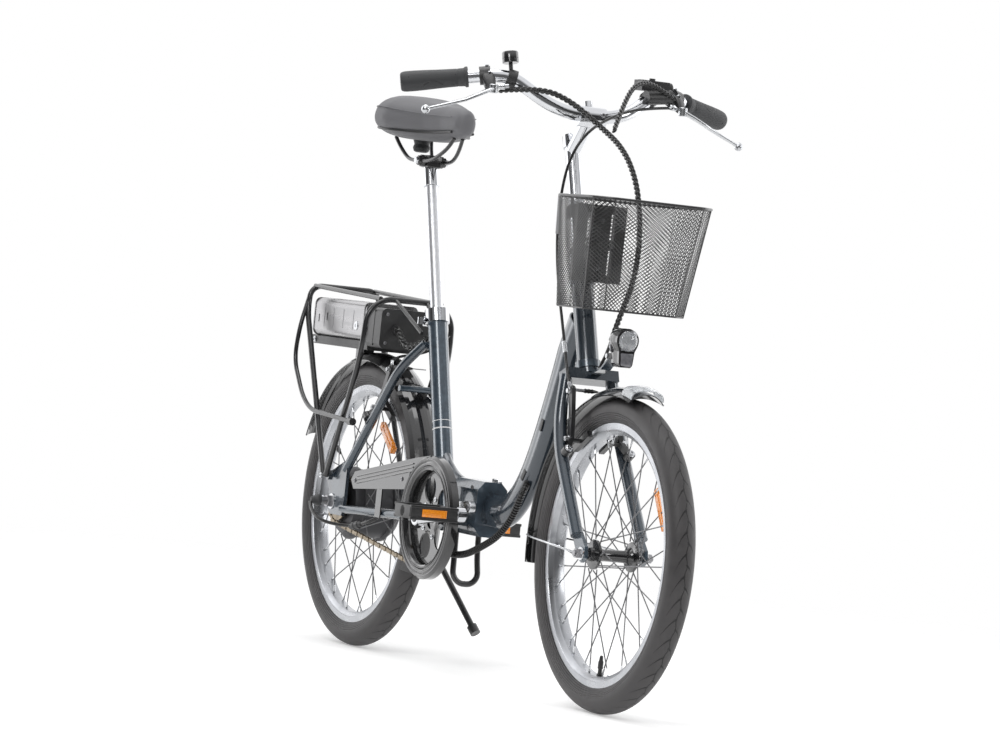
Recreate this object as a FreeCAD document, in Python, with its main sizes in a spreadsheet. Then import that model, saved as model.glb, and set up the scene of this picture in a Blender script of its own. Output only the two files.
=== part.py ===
"""Folding city bicycle with a rear battery rack and a front basket.

Frame of the model: millimetres, +X forward, +Y to the rider's left, +Z up.
The origin is on the ground, half way between the two wheel axles.
"""

import FreeCAD
import Part
import Sketcher
import math
import os

doc = FreeCAD.newDocument("FoldingBicycle")
Vec = FreeCAD.Vector
Y_AXIS = Vec(0, 1, 0)
Z_AXIS = Vec(0, 0, 1)
SIDES = (-1, 1)

# ---------------------------------------------------------------- dimensions

DIMENSIONS = {
    "wheel_base": 970.0,
    "axle_height": 250.0,
    "tyre_width": 47.0,
    "tyre_wall": 3.5,
    "rim_outer_radius": 209.0,
    "rim_width": 30.0,
    "spoke_radius": 1.0,
    "fender_radius": 267.0,
    "fender_half_width": 31.0,
    "head_lean_degrees": 22.0,
    "head_tube_low": 543.0,
    "head_tube_high": 672.0,
    "head_tube_radius": 18.0,
    "steerer_radius": 12.7,
    "riser_radius": 12.5,
    "running_gap": 0.05,
    "seat_tube_radius": 17.0,
    "seat_post_radius": 11.5,
    "stay_radius": 8.0,
    "bracket_radius": 20.0,
    "bracket_height": 256.0,
    "chain_line": 53.0,
    "crank_length": 166.0,
    "hinge_half_width": 30.0,
    "hinge_low": 237.0,
    "hinge_high": 329.0,
    "beam_half_width": 17.0,
    "beam_half_depth": 27.0,
    "bar_radius": 11.0,
    "grip_radius": 16.5,
    "rack_tube_radius": 5.0,
    "battery_length": 232.0,
    "battery_width": 100.0,
    "battery_height": 66.0,
    "box_length": 58.0,
    "box_width": 94.0,
    "box_height": 70.0,
    "dock_length": 250.0,
    "dock_width": 84.0,
    "dock_height": 16.0,
    "motor_radius": 64.0,
    "motor_half_width": 44.0,
    "hub_radius": 15.0,
}

sheet = doc.addObject("Spreadsheet::Sheet", "dims")
for row, (alias, amount) in enumerate(DIMENSIONS.items(), start=1):
    sheet.set("A%d" % row, alias)
    sheet.set("B%d" % row, str(amount))
    sheet.setAlias("B%d" % row, alias)
doc.recompute()


def dim(alias):
    """A driving dimension, read back from the spreadsheet."""
    return float(sheet.get(alias))


HALF_BASE = dim("wheel_base") / 2
AXLE_Z = dim("axle_height")
REAR = Vec(-HALF_BASE, 0, AXLE_Z)
FRONT = Vec(HALF_BASE, 0, AXLE_Z)
TYRE_MINOR = dim("tyre_width") / 2
TYRE_MAJOR = AXLE_Z - TYRE_MINOR
LEAN = math.radians(dim("head_lean_degrees"))
HEAD_UP = Vec(-math.sin(LEAN), 0, math.cos(LEAN))
GAP = dim("running_gap")
BRACKET = Vec(-90, 0, dim("bracket_height"))
PIN_X = -30.0
PIN_Y = 30.0


def head_point(z):
    """The point of the steering axis at the height z."""
    return Vec(300 - (z - 614) * math.tan(LEAN), 0, z)


# ------------------------------------------------------------------- helpers

pieces = []


def add_feature(label, shape):
    """Store a finished shape under its node name."""
    feature = doc.addObject("Part::Feature", label)
    feature.Label = label
    feature.Shape = shape
    feature.Placement = shape.Placement
    pieces.append(feature)
    return feature


def cylinder(start, end, radius, bore=0.0):
    """A round bar, or a tube when a bore is given, from start to end."""
    run = end - start
    bar = Part.makeCylinder(radius, run.Length, start, run)
    if bore > 0:
        bar = bar.cut(Part.makeCylinder(bore, run.Length, start, run))
    return bar


def cross_bar(x, z, y_from, y_to, radius, bore=0.0):
    """A round bar that lies across the bicycle."""
    return cylinder(Vec(x, y_from, z), Vec(x, y_to, z), radius, bore)


def box(low, high):
    """A block between two opposite corners."""
    low, high = Vec(*low), Vec(*high)
    size = high - low
    return Part.makeBox(size.x, size.y, size.z, low)


def fuse(shapes):
    """Join solids that touch or overlap into one."""
    shapes = list(shapes)
    joined = shapes[0].multiFuse(shapes[1:]) if len(shapes) > 1 else shapes[0]
    return joined.removeSplitter()


def mirrored(shape):
    """The same shape on the other side of the bicycle."""
    return shape.mirror(Vec(0, 0, 0), Y_AXIS)


def both_sides(shape):
    """A left and a right copy as one group."""
    return Part.makeCompound([shape, mirrored(shape)])


def rounded_path(points):
    """Straight runs joined by tangent arcs."""
    points = [Vec(*p) for p in points]
    edges = []
    start = points[0]
    for before, corner, after in zip(points, points[1:], points[2:]):
        to_corner = (corner - before).normalize()
        from_corner = (after - corner).normalize()
        turn = to_corner.getAngle(from_corner)
        shorter = min((corner - before).Length, (after - corner).Length)
        if turn < 0.02:
            continue
        setback = 0.45 * shorter
        arc_start = corner - to_corner * setback
        arc_end = corner + from_corner * setback
        bisector = (from_corner - to_corner).normalize()
        radius = setback / math.tan(turn / 2)
        centre = corner + bisector * (radius / math.cos(turn / 2))
        middle = centre - bisector * radius
        if (arc_start - start).Length > 1e-6:
            edges.append(Part.LineSegment(start, arc_start).toShape())
        edges.append(Part.Arc(arc_start, middle, arc_end).toShape())
        start = arc_end
    edges.append(Part.LineSegment(start, points[-1]).toShape())
    return Part.Wire(edges)


def bent_tube(points, radius):
    """A round bar bent along a path."""
    path = rounded_path(points)
    first = path.Edges[0]
    along = first.tangentAt(first.FirstParameter)
    section = Part.Wire(Part.makeCircle(radius, Vec(*points[0]), along))
    return path.makePipeShell([section], True, False)


def turned(profile, centre, degrees=360.0, first=0.0):
    """Revolve (y, radius) points about a wheel axis, from the angle first above +X."""
    corners = [Vec(r, y, 0) for y, r in profile]
    face = Part.Face(Part.makePolygon(corners + corners[:1]))
    solid = face.revolve(Vec(0, 0, 0), Vec(0, -1, 0), degrees)
    solid.rotate(Vec(0, 0, 0), Vec(0, -1, 0), first)
    solid.translate(centre)
    return solid


def plate(points, y_from, y_to):
    """A flat plate with an outline in the side view."""
    corners = [Vec(x, y_from, z) for x, z in points]
    face = Part.Face(Part.makePolygon(corners + corners[:1]))
    return face.extrude(Vec(0, y_to - y_from, 0))


def bar_between(start, end, width, depth, across):
    """A rectangular bar; its width runs along the direction across."""
    along = (end - start).normalize()
    side = (across - along * across.dot(along)).normalize()
    up = along.cross(side)
    corners = [
        start + side * (a * width / 2) + up * (b * depth / 2)
        for a, b in ((-1, -1), (1, -1), (1, 1), (-1, 1))
    ]
    face = Part.Face(Part.makePolygon(corners + corners[:1]))
    return face.extrude(end - start)


def ball(centre, radius):
    """A sphere."""
    return Part.makeSphere(radius, centre)


def loop_face(big, big_radius, small, small_radius, y):
    """The outline of a belt round two circles in the side view."""
    big, small = Vec(big.x, y, big.z), Vec(small.x, y, small.z)
    line = small - big
    base = math.atan2(line.z, line.x)
    spread = math.acos((big_radius - small_radius) / line.Length)

    def on_circle(centre, radius, angle):
        return centre + Vec(math.cos(angle), 0, math.sin(angle)) * radius

    top, bottom = base - spread, base + spread
    a, b = on_circle(big, big_radius, top), on_circle(small, small_radius, top)
    c, d = on_circle(small, small_radius, bottom), on_circle(big, big_radius, bottom)
    near = on_circle(small, small_radius, base)
    far = on_circle(big, big_radius, base + math.pi)
    edges = [
        Part.LineSegment(a, b).toShape(),
        Part.Arc(b, near, c).toShape(),
        Part.LineSegment(c, d).toShape(),
        Part.Arc(d, far, a).toShape(),
    ]
    return Part.Face(Part.Wire(edges))


# -------------------------------------------------------------------- wheels

def add_tyre(label, centre):
    """An open-mouthed tyre made from tori whose sizes follow the spreadsheet."""
    lying = FreeCAD.Rotation(Vec(1, 0, 0), 90)
    place = FreeCAD.Placement(centre, lying)
    outer = doc.addObject("Part::Torus", label + "_outside")
    outer.setExpression("Radius1", "dims.axle_height - dims.tyre_width / 2")
    outer.setExpression("Radius2", "dims.tyre_width / 2")
    inner = doc.addObject("Part::Torus", label + "_air")
    inner.setExpression("Radius1", "dims.axle_height - dims.tyre_width / 2")
    inner.setExpression("Radius2", "dims.tyre_width / 2 - dims.tyre_wall")
    mouth = doc.addObject("Part::Cylinder", label + "_mouth")
    mouth.setExpression("Radius", "dims.rim_outer_radius")
    mouth.setExpression("Height", "dims.tyre_width * 2")
    outer.Placement = place
    inner.Placement = place
    mouth.Placement = FreeCAD.Placement(centre + Vec(0, dim("tyre_width"), 0), lying)
    hollow = doc.addObject("Part::Cut", label + "_hollow")
    hollow.Base = outer
    hollow.Tool = inner
    tyre = doc.addObject("Part::Cut", label)
    tyre.Base = hollow
    tyre.Tool = mouth
    tyre.Label = label
    pieces.append(tyre)


def rim_shape(centre):
    """A box-section rim with an open well for the tyre beads."""
    edge = dim("rim_width") / 2
    outer = dim("rim_outer_radius")
    profile = [
        (-edge, outer), (-edge + 2.5, outer), (-edge + 4, outer - 9), (edge - 4, outer - 9),
        (edge - 2.5, outer), (edge, outer), (edge, outer - 11), (edge - 6, outer - 19),
        (-edge + 6, outer - 19), (-edge, outer - 11),
    ]
    return turned(profile, centre)


SPOKES_PER_SIDE = 18
RIM_INNER = dim("rim_outer_radius") - 19.0


def spokes_shape(centre, flange_radius, flange_y):
    """Crossed wire spokes from the two hub flanges to the rim, with one clip-on reflector."""
    wires = []
    step = 360.0 / SPOKES_PER_SIDE
    for side in SIDES:
        for number in range(SPOKES_PER_SIDE):
            rim_angle = math.radians(number * step + (side + 1) * step / 4)
            lead = math.radians(38 if number % 2 else -38)
            hub_angle = rim_angle + lead
            at_rim = Vec(math.cos(rim_angle), 0, math.sin(rim_angle)) * (RIM_INNER - 1.2)
            at_hub = Vec(math.cos(hub_angle), 0, math.sin(hub_angle)) * (flange_radius + 1.6)
            at_hub += Vec(0, side * (flange_y + 1.4 * (-1) ** number), 0)
            at_rim += Vec(0, side * 3.0, 0)
            wires.append(cylinder(centre + at_hub, centre + at_rim, dim("spoke_radius")))
    return Part.makeCompound(wires)


def front_hub_shape():
    """Slim front hub with two spoke flanges."""
    barrel = dim("hub_radius")
    bore = 5.0 + GAP
    profile = [
        (-45, bore), (-45, 11), (-36, barrel), (-35, 24), (-31, 24), (-29, barrel),
        (29, barrel), (31, 24), (35, 24), (36, barrel), (45, 11), (45, bore),
    ]
    return turned(profile, FRONT)


def motor_shape():
    """Hub motor shell with its side covers and the boss that carries the sprocket."""
    radius, half = dim("motor_radius"), dim("motor_half_width")
    bore = 7.0 + GAP
    profile = [
        (-59, bore), (-59, 15), (-half - 2, 15), (-half - 2, 34), (-half, radius - 12),
        (-32, radius - 3), (-30, radius), (-26, radius), (-24, radius - 4), (24, radius - 4),
        (26, radius), (30, radius), (32, radius - 3), (half, radius - 12), (half + 4, 30),
        (half + 8, 16), (60, 14), (60, bore),
    ]
    return turned(profile, REAR)


def axle_shape(centre, radius, dropout_y, nut_radius, ends):
    """A fixed threaded axle with a nut, a washer and a cap on each side."""
    low, high = ends
    solids = [cross_bar(centre.x, centre.z, low, high, radius)]
    for side in SIDES:
        face = side * dropout_y
        solids.append(cross_bar(centre.x, centre.z, face, face + side * 2, nut_radius + 3))
        solids.append(cross_bar(centre.x, centre.z, face + side * 2, face + side * 11, nut_radius))
    return fuse(solids)


# --------------------------------------------------------------- rear frame

SEAT_TOP = Vec(-272, 0, 599)
SEAT_LOW = Vec(-148, 0, 251)
SEAT_DOWN = (SEAT_LOW - SEAT_TOP).normalize()
SEAT_TUBE_BORE = dim("seat_post_radius") + GAP

STAY_TOP = Vec(-270, 17, 543)
STAY_BEND = Vec(-305, 44, 497)
STAY_LOW = Vec(-446, 63, 308)


def seat_tube_shape():
    """The seat tube, bored for the seat post."""
    return cylinder(SEAT_TOP, SEAT_LOW, dim("seat_tube_radius"), SEAT_TUBE_BORE)


def bracket_shell_shape(seat_solid):
    """Bottom bracket shell with the neck to the seat tube and to the hinge."""
    radius = dim("bracket_radius")
    shell = cross_bar(BRACKET.x, BRACKET.z, -34, 34, radius)
    neck = box((-150, -14, 240), (BRACKET.x, 14, 272))
    nose = box((BRACKET.x, -19, 246), (-78, 19, 300))
    body = fuse([shell, neck, nose])
    body = body.cut(cross_bar(BRACKET.x, BRACKET.z, -40, 40, 8.5 + GAP))
    return body.cut(seat_solid)


def link_tube_shape(seat_solid):
    """Slim curved tube from the seat tube down to the hinge."""
    points = [(-196, 0, 383), (-172, 0, 350), (-128, 0, 326), (-78, 0, 316)]
    return bent_tube(points, 9.5).cut(seat_solid)


def seat_stays_shape(seat_solid, dropouts):
    """The two seat stays with their bridge and brake bosses."""
    radius = dim("stay_radius")
    solids = []
    for side in SIDES:
        points = [(p.x, side * p.y, p.z) for p in (STAY_TOP, STAY_BEND, STAY_LOW)]
        solids.append(bent_tube(points, radius))
    solids.append(cross_bar(-299, 463, -44, 44, 5.5))
    solids.append(cross_bar(-271, 540, -20, 20, 7))
    for side in SIDES:
        foot = Vec(REAR_BOSS.x, side * REAR_BOSS.y, REAR_BOSS.z)
        solids.append(cylinder(foot, foot + REAR_BOSS_OUT * 25, 4))
    return fuse(solids).cut(seat_solid).cut(dropouts)


def dropouts_shape():
    """Right and left dropout plates with rack eyelets."""
    outline = [
        (-433, 312), (-449, 322), (-498, 303), (-516, 303), (-516, 284), (-501, 272),
        (-503, 238), (-488, 228), (-440, 228), (-433, 240),
    ]
    one = plate(outline, 61, 67)
    one = one.cut(cross_bar(REAR.x, REAR.z, 50, 80, 7 + GAP))
    one = fuse([one, cross_bar(-506, 293, 66, 71, 7)])
    return both_sides(one)


def chain_stays_shape(bracket, seat_solid, dropouts):
    """The two chain stays with their bridge, the dropouts and the kickstand plate."""
    solids = list(dropouts.Solids)
    for side in SIDES:
        start = Vec(-112, side * 33.5, 254)
        end = Vec(-446, side * 62, 240)
        solids.append(cylinder(start, end, dim("stay_radius")))
    solids.append(cross_bar(-206, 250, -43, 43, 5.5))
    solids.append(cross_bar(-118, 254, -34, 34, 7))
    solids.append(box((-470, 66, 222), (-436, 74, 252)))
    return fuse(solids).cut(bracket).cut(seat_solid)


def hinge_block(x_from, x_to):
    """One half of the folding joint, with cut corners."""
    half = dim("hinge_half_width")
    low, high = dim("hinge_low"), dim("hinge_high")
    outline = [
        (-half, low + 14), (-half + 12, low), (12, low), (24, low + 12),
        (24, high - 12), (12, high), (-half + 12, high), (-half, high - 14),
    ]
    corners = [Vec(x_from, y, z) for y, z in outline]
    face = Part.Face(Part.makePolygon(corners + corners[:1]))
    return face.extrude(Vec(x_to - x_from, 0, 0))


KNUCKLE_RADIUS = 9.0
KNUCKLE_SPLIT = (264.0, 302.0)


def knuckle(low, high, radius, bore=0.0):
    """A barrel on the folding pin."""
    return cylinder(Vec(PIN_X, PIN_Y, low), Vec(PIN_X, PIN_Y, high), radius, bore)


def rear_hinge_shape(bracket, link):
    """Rear half of the folding joint with the middle knuckle."""
    low, high = KNUCKLE_SPLIT
    block = hinge_block(-78, PIN_X - 0.2)
    ear = box((-52, 10, low + 0.3), (PIN_X, 30, high - 0.3))
    solid = fuse([block, ear, knuckle(low + 0.3, high - 0.3, KNUCKLE_RADIUS)])
    for start, end in ((dim("hinge_low") - 5, low), (high, dim("hinge_high") + 5)):
        solid = solid.cut(knuckle(start, end, KNUCKLE_RADIUS + 0.6))
    solid = solid.cut(knuckle(200, 400, 5 + GAP))
    return solid.cut(bracket).cut(link)


def support_bar_shape():
    """Bent round bar under the folding joint that keeps it off the ground."""
    points = [
        (-58, -21, 238), (-56, -21, 200), (-48, -24, 152),
        (-48, 24, 152), (-56, 21, 200), (-58, 21, 238),
    ]
    bar = bent_tube(points, 5)
    return bar.cut(hinge_block(-78, PIN_X - 0.2))


def fender_shape(centre, first, sweep, reach):
    """A thin rounded mudguard with wire stays from the axle at the angles in reach."""
    half = dim("fender_half_width")
    crown = dim("fender_radius")
    outer, inner = [], []
    steps = 10
    for number in range(steps + 1):
        share = -1 + 2.0 * number / steps
        drop = 15 * abs(share) ** 2.4
        outer.append((half * share, crown - drop))
        inner.append(((half - 1.3) * share, crown - 1.6 - drop))
    shell = turned(outer + inner[::-1], centre, sweep, first)
    solids = [shell]
    for angle in reach:
        direction = Vec(math.cos(math.radians(angle)), 0, math.sin(math.radians(angle)))
        for side in SIDES:
            high = centre + direction * (crown - 12) + Vec(0, side * (half - 1.5), 0)
            middle = centre + direction * (crown - 50) + Vec(0, side * (half + 9), 0)
            low = centre + direction * 15 + Vec(0, side * 61.5, 0)
            solids.append(bent_tube([tuple(high), tuple(middle), tuple(low)], 1.6))
    return fuse(solids)


def rear_fender_shape(seat_stays):
    """Rear mudguard with a tab at the stay bridge and a post under the battery dock."""
    guard = fender_shape(REAR, -22, 178, ())
    along = Vec(-299 - REAR.x, 0, 463 - REAR.z).normalize()
    tab = bar_between(REAR + along * 266, REAR + along * 280, 20, 12, Y_AXIS)
    post = box((-572, -12, 500), (-548, 12, 519.6))
    inside = cross_bar(REAR.x, REAR.z, -60, 60, dim("fender_radius") - 1)
    return fuse([guard, tab.cut(inside), post.cut(inside)]).cut(seat_stays)


RACK_FOOT = Vec(-506, 76.6, 293)


def rack_hoops_shape():
    """Front and rear hoops of the rack, each bent from one tube."""
    radius = dim("rack_tube_radius")
    hoops = []
    for x_top, half_top, z_top, x_kink, z_kink, foot in (
        (-383, 84, 612, -385, 512, 5.5), (-676, 70, 622, -672, 576, -5.5),
    ):
        points = [(RACK_FOOT.x + foot, -RACK_FOOT.y, RACK_FOOT.z)]
        points += [(x_kink, -half_top, z_kink), (x_top, -half_top + 4, z_top)]
        points += [(x_top, half_top - 4, z_top), (x_kink, half_top, z_kink)]
        points.append((RACK_FOOT.x + foot, RACK_FOOT.y, RACK_FOOT.z))
        hoops.append(bent_tube(points, radius))
    return hoops


def rack_rails_shape(hoops):
    """Top rails, side loops and the front strut of the rack."""
    solids = []
    for side in SIDES:
        solids.append(cylinder(Vec(-676, side * 58, 622), Vec(-383, side * 58, 612), 4))
        loop = [
            (-676, side * 68, 602), (-664, side * 86, 545), (-668, side * 88, 488),
            (-596, side * 88, 405), (-400, side * 86, 395),
        ]
        solids.append(bent_tube(loop, 4))
        solids.append(cylinder(Vec(-402, side * 86, 395), Vec(-386, side * 86, 395), 6.5))
        solids.append(cylinder(Vec(-383, side * 30, 612), Vec(-284, side * 19, 560), 3.5))
    cut_by = Part.makeCompound(hoops)
    return [solid.cut(cut_by) for solid in solids]


def chain_guard_shape(chain_stays):
    """Grooved chain guard: an open ring round the chainring and an arm to the rear."""
    centre = BRACKET
    ring = turned([
        (-52, 100), (-52, 104), (-64, 104), (-68, 100), (-68, 97), (-66, 95), (-68, 92),
        (-68, 88), (-66, 86), (-68, 83), (-66, 80), (-60, 80), (-60, 98),
    ], Vec(centre.x, 0, centre.z))
    arm = [(-92, 360), (-150, 352), (-400, 309), (-413, 294), (-400, 279), (-180, 296), (-170, 326)]
    face = plate(arm, -60, -66)
    lip = plate([(-92, 360), (-150, 352), (-400, 309),
                 (-400, 306), (-150, 349), (-92, 357)], -60, -52)
    open_centre = cross_bar(centre.x, centre.z, -75, -50, 81)
    tab = box((-312, -60.5, 238), (-290, -52, 292))
    arm_solid = fuse([face, lip, tab]).cut(open_centre)
    passage = loop_face(BRACKET, 95, REAR, 42.6, -58.5).extrude(Vec(0, 14, 0))
    return fuse([ring, arm_solid]).cut(chain_stays).cut(passage)


def chain_shape():
    """The closed chain, held clear of the chainring and the sprocket."""
    y_out = -dim("chain_line") - 3.5
    outer = loop_face(BRACKET, 93, REAR, 40.6, y_out).extrude(Vec(0, 7, 0))
    inner = loop_face(BRACKET, 85.5, REAR, 33.1, y_out).extrude(Vec(0, 7, 0))
    return outer.cut(inner)


def seat_collar_shape():
    """Clamp collar at the top of the seat tube with its bolt lug."""
    low = SEAT_TOP + SEAT_DOWN * 20
    high = SEAT_TOP - SEAT_DOWN * 3
    ring = cylinder(low, high, dim("seat_tube_radius") + 4)
    middle = (low + high) * 0.5
    lugs = bar_between(middle + Vec(-14, 0, -4), middle + Vec(-34, 0, -11), 22, 15, Y_AXIS)
    collar = fuse([ring, lugs])
    collar = collar.cut(cylinder(low, SEAT_TOP, dim("seat_tube_radius")))
    collar = collar.cut(cylinder(low, high + (high - low), SEAT_TUBE_BORE))
    slot = bar_between(middle + Vec(-14, 0, -4), middle + Vec(-50, 0, -17), 3, 60, Y_AXIS)
    return collar.cut(slot), middle + Vec(-29, 0, -9)


def rear_cables_shape():
    """Motor lead, controller lead and the rear brake cable, each clipped to the frame."""
    lead = bent_tube([(-395.5, -18, 560), (-378, -20, 556), (-352, -22, 530),
                      (-318, -16, 532), (-286, -6, 552)], 5)
    motor = bent_tube([(-486, -107, 246), (-470, -112, 232), (-430, -106, 216),
                       (-380, -72, 214), (-330, -66, 226)], 3)
    plug = cylinder(Vec(-380, -72.5, 214), Vec(-345, -67.5, 222.5), 7)
    cone = Part.makeCone(11, 5, 17, Vec(-485, -90.2, 250), Vec(0, -1, 0))
    brake = bent_tube([(-270, 27, 562), (-302, 34, 552), (-334, 26, 532), (-352, 0, 520),
                       (-352, -28, 516), (-348, -40, 508)], 2.4)
    return [lead, fuse([motor, plug, cone]), brake]


def conduit_rear_shape():
    """Short end of the ribbed conduit on the rear frame."""
    return bent_tube([(-62, -38, 232), (-62, -38, 212), (-46, -38, 203), (PIN_X - 0.4, -38, 202)], 6)


# -------------------------------------------------------------- front frame

BEAM_PATH = ((27, 283), (85, 285), (142, 324), (189, 396), (222, 470), (252, 548), (284, 612))


def beam_solid(half_width, half_depth):
    """An oval section swept along the curved centre line of the main beam."""
    curve = Part.BSplineCurve()
    points = [Vec(x, 0, z) for x, z in BEAM_PATH]
    curve.interpolate(Points=points, InitialTangent=Vec(1, 0, 0), FinalTangent=Vec(0.5, 0, 0.9))
    start = points[0]
    oval = Part.Ellipse(
        start + Vec(0, 0, half_depth), start + Vec(0, half_width, 0), start
    )
    shell = Part.BRepOffsetAPI.MakePipeShell(Part.Wire(curve.toShape()))
    shell.setBiNormalMode(Y_AXIS)
    shell.add(Part.Wire(oval.toShape()))
    shell.build()
    shell.makeSolid()
    return shell.shape()


def head_tube_shape():
    """Head tube with headset cups, bored for the steerer."""
    low, high = head_point(dim("head_tube_low")), head_point(dim("head_tube_high"))
    radius = dim("head_tube_radius")
    tube = cylinder(low, high, radius)
    cup_low = cylinder(low - HEAD_UP * 8, low + HEAD_UP * 4, radius + 3)
    cup_high = cylinder(high - HEAD_UP * 3, high + HEAD_UP * 8, radius + 2.5)
    solid = fuse([tube, cup_low, cup_high])
    bore = dim("steerer_radius") + GAP
    return solid.cut(cylinder(low - HEAD_UP * 20, high + HEAD_UP * 20, bore))


def main_beam_shape(head_core):
    """The curved main beam, hollow, cut to the head tube."""
    wall = 2.5
    outer = beam_solid(dim("beam_half_width"), dim("beam_half_depth"))
    inner = beam_solid(dim("beam_half_width") - wall, dim("beam_half_depth") - wall)
    return outer.cut(inner).cut(head_core)


def front_hinge_shape(beam_core):
    """Front half of the folding joint with the pin and the two outer knuckles."""
    low, high = KNUCKLE_SPLIT
    block = hinge_block(PIN_X + 0.2, 29)
    top = (high + 0.3, dim("hinge_high"))
    bottom = (dim("hinge_low"), low - 0.3)
    solids = [block]
    for start, end in (bottom, top):
        solids.append(knuckle(start, end, KNUCKLE_RADIUS))
        solids.append(box((PIN_X, 10, start), (-8, 30, end)))
    solid = fuse(solids)
    solid = solid.cut(knuckle(low, high, KNUCKLE_RADIUS + 0.6))
    solid = fuse([solid, knuckle(dim("hinge_low") - 4, dim("hinge_high") + 4, 5)])
    return solid.cut(beam_core)


def conduit_front_shape():
    """Ribbed conduit along the right of the main beam's underside."""
    return bent_tube([(PIN_X + 0.4, -38, 202), (10, -38, 202), (70, -34, 222),
                      (120, -27, 246), (160, -24, 282), (182, -24.5, 318)], 6)


LATCH_PIVOT = Vec(20, -30.4, 284)


def latch_lever_shape():
    """Folding-joint latch: a lever that swings up on the right of the hinge."""
    eye = cylinder(LATCH_PIVOT, LATCH_PIVOT + Vec(0, -11, 0), 10)
    arm = box((-46, -41, 276), (20, -36, 292))
    tip = bar_between(Vec(-45, -38.5, 284), Vec(-56, -44, 284), 16, 4.5, Z_AXIS)
    return fuse([eye, arm, tip])


# ------------------------------------------------------------ fork and bars

FORK_PATH = ((336, 40, 524), (348, 50, 456), (376, 56, 402), (466, 57, 277))
FRONT_BOSS = Vec(381, 55.5, 395)
FRONT_BOSS_OUT = Vec(0.812, 0, 0.584)
REAR_BOSS = Vec(-381, 54.5, 394.6)
REAR_BOSS_OUT = Vec(-0.806, 0, 0.592)


def fork_shape():
    """Fork with steerer, crown, curved legs, dropouts, brake bosses and lamp strap."""
    top = head_point(690)
    crown_point = head_point(524)
    steerer = cylinder(crown_point, top, dim("steerer_radius"))
    crown = bar_between(crown_point + Vec(0, -46, 0), crown_point + Vec(0, 46, 0), 18, 30, HEAD_UP)
    race = cylinder(crown_point + HEAD_UP * 4, head_point(dim("head_tube_low")) - HEAD_UP * 8.4, 19)
    solids = [steerer, crown, race]
    for side in SIDES:
        legs = [(x, side * y, z) for x, y, z in FORK_PATH]
        solids.append(bent_tube(legs, 10.5))
        end = [(455, 292), (474, 282), (495, 262), (498, 244), (486, 236), (472, 243), (452, 270)]
        solids.append(plate(end, side * 50, side * 56))
        boss = Vec(FRONT_BOSS.x, side * FRONT_BOSS.y, FRONT_BOSS.z)
        solids.append(cylinder(boss, boss + FRONT_BOSS_OUT * 27, 4))
    strap = [bar_between(Vec(344, 0, 526), Vec(392, 0, 541), 18, 3, Y_AXIS),
             bar_between(Vec(391, 0, 540), Vec(420, 0, 562), 18, 3, Y_AXIS)]
    solids += strap
    solids.append(cylinder(Vec(419, -9, 562), Vec(419, 9, 562), 5))
    body = fuse(solids)
    return body.cut(cross_bar(FRONT.x, FRONT.z, -80, 80, 5 + GAP))


BAR_POINTS = ((242, 0, 941), (242, 56, 943), (209, 128, 990), (200, 162, 991), (137, 292, 965))
BAR_CENTRE = Vec(242, 0, 941)


def on_grip(y):
    """The point of the left bar end at the distance y from the middle."""
    start, end = Vec(*BAR_POINTS[3]), Vec(*BAR_POINTS[4])
    return start + (end - start) * ((y - start.y) / (end.y - start.y))


def handlebar_shape():
    """The bent handlebar, left and right alike."""
    left = [Vec(*p) for p in BAR_POINTS]
    right = [(p.x, -p.y, p.z) for p in reversed(left[1:])]
    return bent_tube(right + [tuple(p) for p in left[1:]], dim("bar_radius"))


def stem_shape(bar_solid):
    """Telescopic riser with a slanted forward arm and the bar clamp."""
    low, high = head_point(690), head_point(906)
    riser = cylinder(low, high, dim("riser_radius"))
    collar = cylinder(low, head_point(716), 17.5)
    cap = cylinder(head_point(890), high + HEAD_UP * 3, 15)
    arm = cylinder(head_point(884), BAR_CENTRE, 12)
    clamp = cross_bar(BAR_CENTRE.x, BAR_CENTRE.z, -24, 24, 17)
    bolt = cylinder(BAR_CENTRE + Vec(-8, 0, 12), BAR_CENTRE + Vec(-13, 0, 24), 7)
    return fuse([riser, collar, cap, arm, clamp, bolt]).cut(bar_solid)


def grips_shape(bar_solid):
    """Shaped rubber grips with a wider palm end."""
    grip = []
    start, middle, end = on_grip(196), on_grip(250), on_grip(293.5)
    radius = dim("grip_radius")
    grip.append(cylinder(start, middle, radius - 1.5))
    grip.append(cylinder(middle, end, radius))
    grip.append(cylinder(start, start + (end - start).normalize() * 6, radius + 2))
    one = fuse(grip).cut(bar_solid)
    return both_sides(one)


LEVER_PIVOT = Vec(232, 172, 968)
LEVER_TIP = Vec(226, 284, 923)


def bar_fittings_shape(bar_solid):
    """Brake lever brackets, the display unit on the left and the bell post on the right."""
    solids = []
    for side in SIDES:
        middle = on_grip(172)
        centre = Vec(middle.x, side * middle.y, middle.z)
        along = (on_grip(190) - on_grip(160)).normalize()
        along = Vec(along.x, side * along.y, along.z)
        pivot = Vec(LEVER_PIVOT.x, side * LEVER_PIVOT.y, LEVER_PIVOT.z)
        ring = cylinder(centre - along * 9, centre + along * 9, 15)
        reach = bar_between(centre + Vec(8, 0, -4), pivot + Vec(-13, 0, 3), 16, 12, along)
        solids.append(fuse([ring, reach]))
    post_foot = Vec(210, -132, 990)
    post = cylinder(post_foot, Vec(206, -134, 1013), 3.4)
    band = cylinder(on_right(124), on_right(138), 14.5)
    solids.append(fuse([band, post]))
    unit = fuse([cylinder(on_left(112), on_left(128), 15),
                 box((196, 96, 996), (226, 146, 1013)),
                 cylinder(Vec(228, 104, 984), Vec(224, 150, 990), 12)])
    solids.append(unit)
    return Part.makeCompound([solid.cut(bar_solid) for solid in solids])


def on_left(y):
    """A point of the bar's rising bend on the left."""
    start, end = Vec(*BAR_POINTS[2]), Vec(*BAR_POINTS[3])
    if y < start.y:
        start, end = Vec(*BAR_POINTS[1]), Vec(*BAR_POINTS[2])
    return start + (end - start) * ((y - start.y) / (end.y - start.y))


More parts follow.
